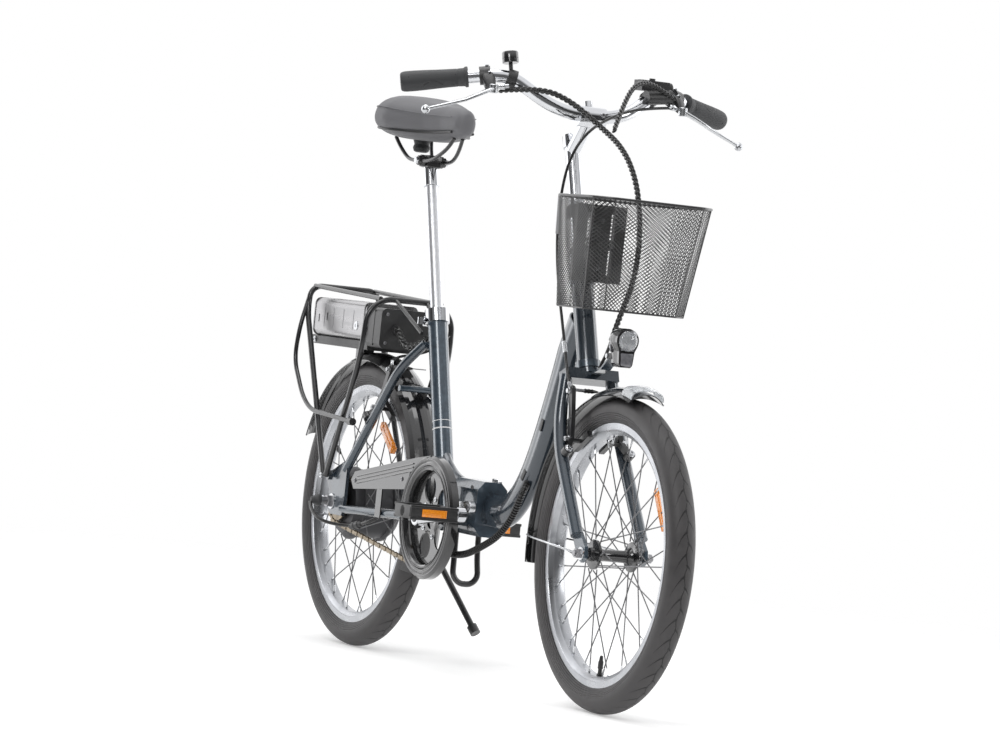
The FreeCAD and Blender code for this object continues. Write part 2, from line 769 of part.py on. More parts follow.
def on_right(y):
    """A point of the bar's rising bend on the right."""
    left = on_left(y)
    return Vec(left.x, -left.y, left.z)


def brake_lever_shape(side):
    """One brake lever: a slim blade with a ball end, clear of its bracket."""
    pivot = Vec(LEVER_PIVOT.x, side * LEVER_PIVOT.y, LEVER_PIVOT.z)
    tip = Vec(LEVER_TIP.x, side * LEVER_TIP.y, LEVER_TIP.z)
    knee = pivot + (tip - pivot) * 0.45 + Vec(10, 0, -3)
    solids = [
        bar_between(pivot, knee, 13, 7, Vec(1, 0, 0)),
        bar_between(knee - (knee - pivot).normalize() * 3, tip, 12, 7, Vec(1, 0, 0)),
        ball(tip, 7.5), cylinder(pivot + Vec(0, 0, -7), pivot + Vec(0, 0, 7), 7.5),
    ]
    return fuse(solids)


RIM_Z = 808.0
FLOOR_Z = 632.0


def basket_outline(z, grow):
    """Plan outline of the basket at a height, from its floor to its rim."""
    share = (z - FLOOR_Z) / (RIM_Z - FLOOR_Z)
    back = 327 - grow
    shoulder = 372 - 0.4 * grow
    front = 492 + 30 * share + grow
    narrow = 46 + 14 * share + 0.6 * grow
    wide = 90 + 15 * share + grow
    nose = wide - 26
    half = [(back, narrow), (shoulder, wide), (front - 24, wide), (front, nose)]
    corners = [Vec(x, -y, z) for x, y in half] + [Vec(x, y, z) for x, y in reversed(half)]
    return Part.makePolygon(corners + corners[:1])


def basket_shape(openings):
    """Tapered basket with a thin wall, open at the top, under a wire rim."""
    outside = Part.makeLoft([basket_outline(FLOOR_Z, 0), basket_outline(RIM_Z, 0)], True, True)
    inside = Part.makeLoft(
        [basket_outline(FLOOR_Z + 2, -2), basket_outline(RIM_Z + 2, -2)], True, True
    )
    rim = Part.makeLoft([basket_outline(RIM_Z - 3, 2), basket_outline(RIM_Z + 3, 2)], True, True)
    rim = rim.cut(Part.makeLoft(
        [basket_outline(RIM_Z - 4, -2.5), basket_outline(RIM_Z + 4, -2.5)], True, True
    ))
    return fuse([outside.cut(inside), rim]).cut(openings)


def basket_bracket_shape(riser_solid):
    """Plate behind the basket with two arms clamped on the riser."""
    solids = [box((316, -44, 676), (324.5, 44, 800))]
    for z in (718, 786):
        middle = head_point(z)
        ring = cylinder(middle - HEAD_UP * 9, middle + HEAD_UP * 9, 17)
        arm = box((middle.x, -11, z - 8), (318, 11, z + 8))
        solids.append(fuse([ring, arm]))
    return fuse(solids).cut(riser_solid)


BUNDLE_RIGHT = (
    (214, -150, 968), (250, -96, 978), (268, -50, 962), (302, -12, 927), (368, 2, 893),
    (412, 8, 846), (436, 10, 790), (446, 10, 730), (436, 10, 676), (404, 10, 628), (382, 10, 586),
)
BUNDLE_LEFT = ((234, 150, 988), (246, 106, 1008), (266, 64, 1004), (290, 34, 968), (318, 8, 922))


def cable_bundle_shape():
    """Spiral-wrapped cables that drop from the bar through the basket to the lamp."""
    right = bent_tube(BUNDLE_RIGHT, 5)
    left = bent_tube(BUNDLE_LEFT, 4.5)
    return fuse([right, left])


def front_brake_cable_shape():
    """Front brake cable from the left lever to the noodle at the brake."""
    points = [
        (228, 150, 972), (240, 96, 966), (262, 34, 948), (276, -20, 916), (266, -42, 868),
        (252, -44, 800), (258, -44, 730), (286, -46, 660), (322, -48, 596), (352, -50, 540),
        (362, -48, 514),
    ]
    cable = bent_tube(points, 2.4)
    sleeve = cylinder(Vec(331.9, -48.7, 577), Vec(341.9, -49.3, 559), 4)
    return fuse([cable, sleeve])


def headlight_shape():
    """Tall oval headlamp with a domed back and a pivot lug."""
    oval = Part.Wire(Part.Ellipse(
        Vec(432, 0, 577 + 31), Vec(432, 19.5, 577), Vec(432, 0, 577)).toShape())
    body = Part.Face(oval).extrude(Vec(28, 0, 0))
    back = Part.makeSphere(18.5, Vec(434, 0, 580))
    solid = fuse([body, back])
    solid = solid.cut(box((395, -60, 500), (424.6, 60, 640)))
    for side in SIDES:
        lug = bar_between(Vec(419, side * 11.5, 562), Vec(434, side * 11.5, 562), 4, 9, Y_AXIS)
        solid = fuse([solid, lug])
    return solid.cut(box((410, -9.4, 554), (425.4, 9.4, 570)))


# ------------------------------------------------------------------- brakes

def brake_arm_shape(side, centre, boss, boss_out, path):
    """A direct-pull brake arm with its pad, pivoting on a boss."""
    points = [Vec(x, side * y, z) for x, y, z in path]
    foot = Vec(boss.x, side * boss.y, boss.z)
    barrel = cylinder(foot + boss_out * 13, foot + boss_out * 25, 8)
    solids = [barrel]
    for start, end in zip(points, points[1:]):
        solids.append(bar_between(start, end, 7, 11, Y_AXIS))
        solids.append(ball(end, 5.4))
    toward = Vec(points[1].x - centre.x, 0, points[1].z - centre.z).normalize()
    pad = centre + toward * 200
    tangent = toward.cross(Y_AXIS).normalize()
    start = Vec(pad.x, side * 23, pad.z)
    shoe = bar_between(start - tangent * 27, start + tangent * 27, 9, 11, Y_AXIS)
    post = cylinder(Vec(pad.x, side * 26, pad.z), Vec(pad.x, side * 44, pad.z), 3.5)
    solid = fuse(solids + [shoe, post])
    return solid.cut(cylinder(foot - boss_out * 5, foot + boss_out * 40, 4 + GAP))


FRONT_ARM = ((396, 54, 408), (382, 44, 424), (375, 42, 456), (366, 42, 504))
REAR_ARM = ((-396, 54, 406), (-384, 45, 421), (-366, 42, 450), (-344, 42, 496))


# --------------------------------------------------- drive, saddle, kickstand

def crankset_shape():
    """Crank axle, both crank arms and the five-window chainring."""
    length = dim("crank_length")
    tilt = math.radians(6)
    forward = Vec(math.cos(tilt), 0, math.sin(tilt)) * length
    line = dim("chain_line")
    solids = [cross_bar(BRACKET.x, BRACKET.z, -76, 76, 8.5)]
    for side, direction, inner in ((-1, forward, 72), (1, forward * -1, 66)):
        hub = cross_bar(BRACKET.x, BRACKET.z, side * inner, side * (inner + 14), 15)
        start = BRACKET + Vec(0, side * (inner + 7), 0)
        end = start + direction
        arm = bar_between(start, end, 12, 22, Y_AXIS)
        eye = cross_bar(end.x, end.z, side * inner, side * (inner + 14), 12)
        eye = fuse([hub, arm, eye])
        solids.append(eye.cut(cross_bar(end.x, end.z, -120, 120, 4.8)))
    ring = cross_bar(BRACKET.x, BRACKET.z, -line - 1.5, -line + 1.5, 84.5)
    for number in range(5):
        angle = math.radians(72 * number + 36)
        spot = BRACKET + Vec(math.cos(angle), 0, math.sin(angle)) * 50
        ring = ring.cut(cross_bar(spot.x, spot.z, -70, -40, 22))
    spider = cross_bar(BRACKET.x, BRACKET.z, -72, -line + 1.5, 19)
    return fuse(solids + [ring, spider])


def pedal_centre(side):
    """The pedal eye of the crank on one side."""
    tilt = math.radians(6)
    reach = Vec(math.cos(tilt), 0, math.sin(tilt)) * dim("crank_length")
    return BRACKET - reach * side


def pedal_shape(side):
    """A cage pedal on its spindle, with a reflector at each end."""
    eye = pedal_centre(side)
    inner = 76 if side < 0 else 70
    near, far = side * (inner + 22), side * (inner + 108)
    spindle = cross_bar(eye.x, eye.z, side * inner, far, 4.75)
    core = cross_bar(eye.x, eye.z, near, far, 10)
    solids = [spindle, core]
    for end in (-1, 1):
        solids.append(box(
            (eye.x + end * 31 - 3, min(near, far), eye.z - 12),
            (eye.x + end * 31 + 3, max(near, far), eye.z + 12)))
    for y in (near, far - side * 8):
        low = min(y, y + side * 8)
        solids.append(box((eye.x - 31, low, eye.z - 11), (eye.x + 31, low + 8, eye.z + 11)))
    return fuse(solids)


def freewheel_shape():
    """The rear sprocket on the motor boss."""
    line = dim("chain_line")
    tooth = cross_bar(REAR.x, REAR.z, -line - 1.5, -line + 1.5, 32.6)
    body = cross_bar(REAR.x, REAR.z, -line - 4, -line + 5, 24)
    return fuse([tooth, body]).cut(cross_bar(REAR.x, REAR.z, -80, -40, 15 + GAP))


POST_TOP = SEAT_TOP - SEAT_DOWN * 262


def seat_post_shape():
    """Seat post with the saddle clamp and the two rails."""
    low = SEAT_TOP + SEAT_DOWN * 200
    post = cylinder(low, POST_TOP, dim("seat_post_radius"))
    sleeve = cylinder(POST_TOP + SEAT_DOWN * 34, POST_TOP, dim("seat_post_radius") + 2)
    clamp = box((POST_TOP.x - 20, -27, 846), (POST_TOP.x + 20, 27, 868))
    solids = [post, sleeve, clamp]
    for side in SIDES:
        rail = [(-442, side * 34, 890), (-420, side * 26, 872), (-395, side * 22, 857),
                (-325, side * 20, 857), (-280, side * 14, 874), (-262, side * 9, 888)]
        solids.append(bent_tube(rail, 3.5))
    return fuse(solids)


def saddle_section(x, half, low, high, round_off):
    """A cross-section of the saddle: a dome over a narrower underside."""
    points = []
    count = 24
    for number in range(count):
        angle = 2 * math.pi * number / count
        c, s = math.cos(angle), math.sin(angle)
        y = half * math.copysign(abs(c) ** round_off, c)
        upper = high - low
        z = low + upper * 0.45 + (upper * 0.55 if s > 0 else upper * 0.45) * (
            math.copysign(abs(s) ** 0.9, s))
        points.append(Vec(x, y, z))
    return Part.makePolygon(points + points[:1])


SADDLE_SECTIONS = (
    (-462, 40, 908, 944, 0.8), (-448, 76, 898, 962, 0.75), (-418, 93, 893, 969, 0.7),
    (-385, 91, 892, 966, 0.7), (-352, 70, 892, 960, 0.75), (-320, 45, 893, 955, 0.8),
    (-280, 29, 896, 952, 0.85), (-240, 22, 900, 949, 0.85), (-222, 12, 910, 942, 0.9),
)


def saddle_shape(rails):
    """Wide padded saddle with a slim nose."""
    sections = [saddle_section(*item) for item in SADDLE_SECTIONS]
    return Part.makeLoft(sections, True, False).cut(rails)


KICK_PIVOT = Vec(-453, 80, 236)
KICK_TIP = Vec(-300, 148, 52)


def kickstand_shape():
    """Kickstand leg with its pivot block, lowered."""
    block = cylinder(KICK_PIVOT + Vec(0, -5.7, 0), KICK_PIVOT + Vec(0, 8, 0), 11)
    start = KICK_PIVOT + Vec(0, 3, 0)
    along = (KICK_TIP - start).normalize()
    leg = cylinder(start, KICK_TIP, 5.5)
    foot = cylinder(KICK_TIP - along * 14, KICK_TIP + along * 2, 9)
    return fuse([block, leg, foot])


# ------------------------------------------- blocks drawn as sketched bodies

def sketched_block(label, width_name, height_name, length_name, x_start, z_low, fillet):
    """A block whose sketch is bound to the spreadsheet, padded along the bicycle."""
    body = doc.addObject("PartDesign::Body", label)
    body.Label = label
    sketch = body.newObject("Sketcher::SketchObject", label + "_sketch")
    plane = [f for f in body.Origin.OriginFeatures if f.Role == "YZ_Plane"][0]
    sketch.AttachmentSupport = [(plane, "")]
    sketch.MapMode = "FlatFace"
    corners = [Vec(-30, 0, 0), Vec(30, 0, 0), Vec(30, 40, 0), Vec(-30, 40, 0)]
    for number in range(4):
        edge = Part.LineSegment(corners[number], corners[(number + 1) % 4])
        sketch.addGeometry(edge, False)
    for number in range(4):
        sketch.addConstraint(Sketcher.Constraint("Coincident", number, 2, (number + 1) % 4, 1))
    sketch.addConstraint(Sketcher.Constraint("Horizontal", 2))
    for number in (1, 3):
        sketch.addConstraint(Sketcher.Constraint("Vertical", number))
    sketch.addConstraint(Sketcher.Constraint("Symmetric", 0, 1, 0, 2, -2))
    sketch.addConstraint(Sketcher.Constraint("DistanceY", -1, 1, 0, 1, z_low))
    wide = sketch.addConstraint(Sketcher.Constraint("DistanceX", 0, 1, 0, 2, 60))
    tall = sketch.addConstraint(Sketcher.Constraint("DistanceY", 1, 1, 1, 2, 40))
    sketch.setExpression("Constraints[%d]" % wide, "dims.%s" % width_name)
    sketch.setExpression("Constraints[%d]" % tall, "dims.%s" % height_name)
    pad = body.newObject("PartDesign::Pad", label + "_pad")
    pad.Profile = sketch
    pad.setExpression("Length", "dims.%s" % length_name)
    doc.recompute()
    soft = body.newObject("PartDesign::Fillet", label + "_fillet")
    long_edges = [
        "Edge%d" % (n + 1) for n, e in enumerate(pad.Shape.Edges)
        if abs(e.BoundBox.XLength - dim(length_name)) < 0.01
    ]
    soft.Base = (pad, long_edges)
    soft.Radius = fillet
    body.Tip = soft
    body.Placement = FreeCAD.Placement(Vec(x_start, 0, 0), FreeCAD.Rotation())
    doc.recompute()
    pieces.append(body)
    return body


# ------------------------------------------------------------------ assembly

def build():
    """Make every node of the bicycle."""
    add_tyre("front_tyre", FRONT)
    add_tyre("rear_tyre", REAR)
    add_feature("front_rim", rim_shape(FRONT))
    add_feature("rear_rim", rim_shape(REAR))
    add_feature("front_spokes", spokes_shape(FRONT, 24, 33))
    add_feature("rear_spokes", spokes_shape(REAR, dim("motor_radius"), 28))
    add_feature("front_hub", front_hub_shape())
    add_feature("rear_motor", motor_shape())
    add_feature("front_axle", axle_shape(FRONT, 5, 56.2, 8, (-70, 70)))
    add_feature("rear_axle", axle_shape(REAR, 7, 67.2, 11, (-90, 88)))
    add_feature("freewheel", freewheel_shape())

    seat_solid = cylinder(SEAT_TOP, SEAT_LOW, dim("seat_tube_radius"))
    dropouts = dropouts_shape()
    bracket = bracket_shell_shape(seat_solid)
    link = link_tube_shape(seat_solid)
    chain_stays = chain_stays_shape(bracket, seat_solid, dropouts)
    seat_stays = seat_stays_shape(seat_solid, chain_stays)
    hoops = rack_hoops_shape()
    add_feature("seat_tube", seat_tube_shape())
    add_feature("bracket_shell", bracket)
    add_feature("link_tube", link)
    add_feature("chain_stays", chain_stays)
    add_feature("seat_stays", seat_stays)
    add_feature("rear_hinge", rear_hinge_shape(bracket, link))
    add_feature("support_bar", support_bar_shape())
    add_feature("rear_fender", rear_fender_shape(seat_stays))
    add_feature("rack_hoops", Part.makeCompound(hoops))
    add_feature("rack_rails", Part.makeCompound(rack_rails_shape(hoops)))
    add_feature("chain_guard", chain_guard_shape(chain_stays))
    add_feature("chain", chain_shape())
    add_feature("rear_cables", Part.makeCompound(rear_cables_shape()))
    add_feature("conduit_rear", conduit_rear_shape())
    collar, lever_spot = seat_collar_shape()
    add_feature("seat_collar", collar)
    lever = fuse([
        cylinder(lever_spot + Vec(0, -17.2, -6), lever_spot + Vec(0, -17.2, 6), 5.5),
        bar_between(lever_spot + Vec(0, -17.2, 0), lever_spot + Vec(34, -31, 0), 12, 5, Z_AXIS),
    ])
    add_feature("seat_clamp_lever", lever)

    head = head_tube_shape()
    head_core = cylinder(
        head_point(dim("head_tube_low")) - HEAD_UP * 8,
        head_point(dim("head_tube_high")) + HEAD_UP * 8, dim("head_tube_radius"))
    head_core = fuse([head_core, head])
    beam_core = beam_solid(dim("beam_half_width"), dim("beam_half_depth"))
    add_feature("head_tube", head)
    add_feature("main_beam", main_beam_shape(head_core))
    add_feature("front_hinge", front_hinge_shape(beam_core))
    add_feature("conduit_front", conduit_front_shape())
    add_feature("latch_lever", latch_lever_shape())

    bar_solid = handlebar_shape()
    riser_solid = cylinder(head_point(690), head_point(900), dim("riser_radius"))
    stem = stem_shape(bar_solid)
    bundle = cable_bundle_shape()
    add_feature("fork", fork_shape())
    add_feature("stem", stem)
    add_feature("handlebar", bar_solid)
    add_feature("grips", grips_shape(bar_solid))
    fittings = bar_fittings_shape(bar_solid)
    add_feature("bar_fittings", fittings)
    hole = cylinder(Vec(424, 10, 655), Vec(396, 10, 612), 9)
    add_feature("basket", basket_shape(hole))
    add_feature("basket_bracket", basket_bracket_shape(fuse([riser_solid, stem])))
    add_feature("front_fender", fender_shape(FRONT, 76, 112, (178,)))
    add_feature("cable_bundle", bundle.cut(fittings).cut(bar_solid))
    add_feature("front_brake_cable", front_brake_cable_shape().cut(fittings).cut(bundle))
    add_feature("headlight", headlight_shape())
    add_feature("right_brake_lever", brake_lever_shape(-1).cut(fittings))
    add_feature("left_brake_lever", brake_lever_shape(1).cut(fittings))
    add_feature("bell_dome", cylinder(Vec(205.9, -134, 1013.4), Vec(202, -135.6, 1032), 13.5))
    add_feature("control_button", cylinder(Vec(211, 121, 1013.4), Vec(211, 121, 1017), 5))

    for name, centre, boss, out, path in (
        ("front", FRONT, FRONT_BOSS, FRONT_BOSS_OUT, FRONT_ARM),
        ("rear", REAR, REAR_BOSS, REAR_BOSS_OUT, REAR_ARM),
    ):
        add_feature(name + "_brake_arm_right", brake_arm_shape(-1, centre, boss, out, path))
        add_feature(name + "_brake_arm_left", brake_arm_shape(1, centre, boss, out, path))

    add_feature("crankset", crankset_shape())
    add_feature("right_pedal", pedal_shape(-1))
    add_feature("left_pedal", pedal_shape(1))
    post = seat_post_shape()
    add_feature("seat_post", post)
    add_feature("saddle", saddle_shape(post))
    add_feature("kickstand", kickstand_shape())
    sketched_block("battery_case", "battery_width", "battery_height", "battery_length", -690, 536, 12)
    sketched_block("controller_box", "box_width", "box_height", "box_length", -455, 526, 10)
    sketched_block("battery_dock", "dock_width", "dock_height", "dock_length", -708, 519.6, 3)


build()
doc.recompute()

os.makedirs("parts", exist_ok=True)
for old in os.listdir("parts"):
    os.remove(os.path.join("parts", old))
for item in doc.Objects:
    if "Invalid" in item.State or "Error" in item.State:
        raise RuntimeError("%s did not build" % item.Label)
for piece in pieces:
    shape = piece.Shape
    if shape.isNull() or not shape.isValid():
        raise RuntimeError("%s has no valid shape" % piece.Label)
    shape.exportStep("parts/%s.step" % piece.Label)
    bounds = shape.BoundBox
    print("%-24s %2d solids  X %.0f..%.0f  Y %.0f..%.0f  Z %.0f..%.0f  vol %.0f" % (
        piece.Label, len(shape.Solids), bounds.XMin, bounds.XMax, bounds.YMin,
        bounds.YMax, bounds.ZMin, bounds.ZMax, shape.Volume))
print(len(pieces), "pieces")
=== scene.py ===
"""Looks of a folding electric bicycle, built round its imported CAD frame. Metres, in the row frame."""
import logging
import math
from collections.abc import Callable, Sequence
from dataclasses import dataclass
from enum import Enum

import bmesh
import bpy
import numpy as np
from mathutils import Matrix, Vector


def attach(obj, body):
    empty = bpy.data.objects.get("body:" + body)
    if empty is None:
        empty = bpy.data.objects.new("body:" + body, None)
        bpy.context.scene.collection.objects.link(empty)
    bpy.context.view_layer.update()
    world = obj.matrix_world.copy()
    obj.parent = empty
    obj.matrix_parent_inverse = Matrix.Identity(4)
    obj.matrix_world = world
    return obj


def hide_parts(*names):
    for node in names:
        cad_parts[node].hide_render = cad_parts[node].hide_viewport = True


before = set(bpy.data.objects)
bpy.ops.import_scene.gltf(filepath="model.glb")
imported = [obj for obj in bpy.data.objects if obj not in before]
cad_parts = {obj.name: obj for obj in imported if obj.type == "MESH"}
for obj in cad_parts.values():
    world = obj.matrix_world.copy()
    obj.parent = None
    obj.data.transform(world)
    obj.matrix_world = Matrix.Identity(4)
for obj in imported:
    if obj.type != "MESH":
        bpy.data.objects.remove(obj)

LOG = logging.getLogger("bicycle")
MM = 0.001
MERGE_DISTANCE = 1e-6
SHARP_ANGLE = math.radians(32)

Point = Sequence[float]


def mm(*values: float) -> Vector:
    """A point given in millimetres.

    Args:
        values: The three coordinates.

    Returns:
        The point in metres.
    """
    return Vector(values) * MM


def mm_points(points: Sequence[Point]) -> list[Vector]:
    """Several points given in millimetres.

    Args:
        points: The points.

    Returns:
        The points in metres.
    """
    return [mm(*point) for point in points]


class Graph:
    """Adds nodes to a tree and joins them."""

    def __init__(self, tree: bpy.types.NodeTree) -> None:
        """Takes the tree to fill.

        Args:
            tree: A shader, world or geometry tree.
        """
        self.tree = tree

    def add(self, kind: str, values: dict | None = None, **settings: object) -> bpy.types.Node:
        """Adds one node.

        Args:
            kind: The node's type name.
            values: Input values by socket name or number.
            settings: Properties of the node.

        Returns:
            The node.
        """
        node = self.tree.nodes.new(kind)
        for key, value in settings.items():
            setattr(node, key, value)
        for key, value in (values or {}).items():
            node.inputs[key].default_value = value
        return node

    def link(self, source: bpy.types.NodeSocket, target: bpy.types.NodeSocket) -> None:
        """Joins an output to an input.

        Args:
            source: The output socket.
            target: The input socket.
        """
        self.tree.links.new(source, target)

    def join(self, source: bpy.types.Node, output: str | int, target: bpy.types.Node,
            entry: str | int) -> None:
        """Joins two nodes by the names or numbers of their sockets.

        Args:
            source: The node that gives.
            output: Its output.
            target: The node that takes.
            entry: Its input.
        """
        self.link(source.outputs[output], target.inputs[entry])


def new_group(name: str, kind: str, sockets: Sequence[tuple[str, str, str, object]]) -> bpy.types.NodeTree:
    """Makes a node group with a typed interface.

    Args:
        name: The group's name.
        kind: ShaderNodeTree or GeometryNodeTree.
        sockets: For each socket its name, IN or OUT, socket type and default.

    Returns:
        The group.
    """
    tree = bpy.data.node_groups.new(name, kind)
    for label, way, socket_type, default in sockets:
        direction = "INPUT" if way == "IN" else "OUTPUT"
        socket = tree.interface.new_socket(label, in_out=direction, socket_type=socket_type)
        if default is not None:
            socket.default_value = default
    return tree


def variation_group() -> bpy.types.NodeTree:
    """Shader group that mixes two colours and two roughnesses by cloudy noise.

    Returns:
        The group, with Colour and Roughness outputs.
    """
    tree = new_group("surface_variation", "ShaderNodeTree", [
        ("Vector", "IN", "NodeSocketVector", None),
        ("Colour A", "IN", "NodeSocketColor", (0.1, 0.1, 0.1, 1.0)),
        ("Colour B", "IN", "NodeSocketColor", (0.1, 0.1, 0.1, 1.0)),
        ("Roughness A", "IN", "NodeSocketFloat", 0.3),
        ("Roughness B", "IN", "NodeSocketFloat", 0.4),
        ("Scale", "IN", "NodeSocketFloat", 20.0),
        ("Colour", "OUT", "NodeSocketColor", None),
        ("Roughness", "OUT", "NodeSocketFloat", None),
    ])
    g = Graph(tree)
    start, end = g.add("NodeGroupInput"), g.add("NodeGroupOutput")
    noise = g.add("ShaderNodeTexNoise", {"Detail": 4.0, "Roughness": 0.6})
    g.join(start, "Vector", noise, "Vector")
    g.join(start, "Scale", noise, "Scale")
    stretch = g.add("ShaderNodeMapRange", {"From Min": 0.3, "From Max": 0.7})
    g.join(noise, "Fac", stretch, "Value")
    colour = g.add("ShaderNodeMix", data_type="RGBA")
    g.join(stretch, "Result", colour, "Factor")
    g.join(start, "Colour A", colour, 6)
    g.join(start, "Colour B", colour, 7)
    rough = g.add("ShaderNodeMix", data_type="FLOAT")
    g.join(stretch, "Result", rough, "Factor")
    g.join(start, "Roughness A", rough, 2)
    g.join(start, "Roughness B", rough, 3)
    g.join(colour, 2, end, "Colour")
    g.join(rough, 0, end, "Roughness")
    return tree


def grain_group() -> bpy.types.NodeTree:
    """Shader group that gives the normal of a fine cast or drawn grain.

    Returns:
        The group, with a Normal output.
    """
    tree = new_group("fine_grain", "ShaderNodeTree", [
        ("Vector", "IN", "NodeSocketVector", None),
        ("Scale", "IN", "NodeSocketFloat", 800.0),
        ("Strength", "IN", "NodeSocketFloat", 0.1),
        ("Normal", "OUT", "NodeSocketVector", None),
    ])
    g = Graph(tree)
    start, end = g.add("NodeGroupInput"), g.add("NodeGroupOutput")
    noise = g.add("ShaderNodeTexNoise", {"Detail": 2.0, "Roughness": 0.5})
    bump = g.add("ShaderNodeBump", {"Distance": 0.0004})
    g.join(start, "Vector", noise, "Vector")
    g.join(start, "Scale", noise, "Scale")
    g.join(noise, "Fac", bump, "Height")
    g.join(start, "Strength", bump, "Strength")
    g.join(bump, "Normal", end, "Normal")
    return tree


def pebble_group() -> bpy.types.NodeTree:
    """Shader group that gives the normal of pebbled leatherette or moulded prisms.

    Returns:
        The group, with a Normal output.
    """
    tree = new_group("pebble", "ShaderNodeTree", [
        ("Vector", "IN", "NodeSocketVector", None),
        ("Scale", "IN", "NodeSocketFloat", 900.0),
        ("Strength", "IN", "NodeSocketFloat", 0.3),
        ("Normal", "OUT", "NodeSocketVector", None),
    ])
    g = Graph(tree)
    start, end = g.add("NodeGroupInput"), g.add("NodeGroupOutput")
    cells = g.add("ShaderNodeTexVoronoi", feature="SMOOTH_F1")
    bump = g.add("ShaderNodeBump", {"Distance": 0.0006})
    bump.invert = True
    g.join(start, "Vector", cells, "Vector")
    g.join(start, "Scale", cells, "Scale")
    g.join(cells, "Distance", bump, "Height")
    g.join(start, "Strength", bump, "Strength")
    g.join(bump, "Normal", end, "Normal")
    return tree


def edge_group() -> bpy.types.NodeTree:
    """Shader group that masks convex edges, where a finish is rubbed lighter.

    Returns:
        The group, with a Mask output.
    """
    tree = new_group("edge_wear", "ShaderNodeTree", [
        ("Vector", "IN", "NodeSocketVector", None),
        ("Low", "IN", "NodeSocketFloat", 0.53),
        ("High", "IN", "NodeSocketFloat", 0.62),
        ("Mask", "OUT", "NodeSocketFloat", None),
    ])
    g = Graph(tree)
    start, end = g.add("NodeGroupInput"), g.add("NodeGroupOutput")
    surface = g.add("ShaderNodeNewGeometry")
    ramp = g.add("ShaderNodeMapRange")
    patches = g.add("ShaderNodeTexNoise", {"Scale": 120.0})
    product = g.add("ShaderNodeMath", operation="MULTIPLY")
    g.join(surface, "Pointiness", ramp, "Value")
    g.join(start, "Low", ramp, "From Min")
    g.join(start, "High", ramp, "From Max")
    g.join(start, "Vector", patches, "Vector")
    g.join(ramp, "Result", product, 0)
    g.join(patches, "Fac", product, 1)
    g.join(product, "Value", end, "Mask")
    return tree


class Relief(Enum):
    """Which fine relief a finish has."""

    GRAIN = "grain"
    PEBBLE = "pebble"


GROUPS: dict[str, bpy.types.NodeTree] = {}


def shared_group(name: str) -> bpy.types.NodeTree:
    """One of the shared shader groups, made on first use.

    Args:
        name: variation, grain, pebble or edge.

    Returns:
        The group.
    """
    makers = {
        "variation": variation_group, "grain": grain_group,
        "pebble": pebble_group, "edge": edge_group,
    }
    if name not in GROUPS:
        GROUPS[name] = makers[name]()
    return GROUPS[name]


Colour = tuple[float, float, float]


@dataclass(frozen=True)
class Finish:
    """A surface finish with cloudy variation, fine relief and lighter edges."""

    name: str
    colour: Colour
    second: Colour
    metallic: float = 0.0
    roughness: float = 0.3
    rougher: float = 0.38
    coat: float = 0.0
    cloud_scale: float = 18.0
    relief: Relief = Relief.GRAIN
    relief_scale: float = 900.0
    relief_strength: float = 0.06
    stretch: Point = (1.0, 1.0, 1.0)
    edge: Colour | None = None
    transmission: float = 0.0
    specular: float = 0.5

    def material(self) -> bpy.types.Material:
        """The finish as a material, made once.

        Returns:
            The material.
        """
        found = bpy.data.materials.get(self.name)
        if found is not None:
            return found
        material = bpy.data.materials.new(self.name)
        material.use_nodes = True
        tree = material.node_tree
        tree.nodes.clear()
        g = Graph(tree)
        out = g.add("ShaderNodeOutputMaterial")
        shader = g.add("ShaderNodeBsdfPrincipled", {
            "Metallic": self.metallic, "Coat Weight": self.coat, "Coat Roughness": 0.06,
            "Transmission Weight": self.transmission, "Specular IOR Level": self.specular,
        })
        place = g.add("ShaderNodeTexCoord")
        mapping = g.add("ShaderNodeMapping", {"Scale": self.stretch})
        g.join(place, "Object", mapping, "Vector")
        varied = g.add("ShaderNodeGroup", node_tree=shared_group("variation"))
        for label, value in (
            ("Colour A", (*self.colour, 1.0)), ("Colour B", (*self.second, 1.0)),
            ("Roughness A", self.roughness), ("Roughness B", self.rougher),
            ("Scale", self.cloud_scale),
        ):
            varied.inputs[label].default_value = value
        g.join(mapping, "Vector", varied, "Vector")
        g.join(varied, "Roughness", shader, "Roughness")
        self._colour(g, varied, mapping, shader)
        relief = g.add("ShaderNodeGroup", node_tree=shared_group(self.relief.value))
        relief.inputs["Scale"].default_value = self.relief_scale
        relief.inputs["Strength"].default_value = self.relief_strength
        g.join(mapping, "Vector", relief, "Vector")
        g.join(relief, "Normal", shader, "Normal")
        g.join(shader, "BSDF", out, "Surface")
        return material

    def _colour(self, g: Graph, varied: bpy.types.Node, mapping: bpy.types.Node,
            shader: bpy.types.Node) -> None:
        """Joins the colour, with its edge colour if the finish has one.

        Args:
            g: The material's graph.
            varied: The variation group's node.
            mapping: The mapping node.
            shader: The principled shader.
        """
        if self.edge is None:
            g.join(varied, "Colour", shader, "Base Color")
            return
        mask = g.add("ShaderNodeGroup", node_tree=shared_group("edge"))
        g.join(mapping, "Vector", mask, "Vector")
        mix = g.add("ShaderNodeMix", data_type="RGBA")
        mix.inputs[7].default_value = (*self.edge, 1.0)
        g.join(mask, "Mask", mix, "Factor")
        g.join(varied, "Colour", mix, 6)
        g.join(mix, 2, shader, "Base Color")


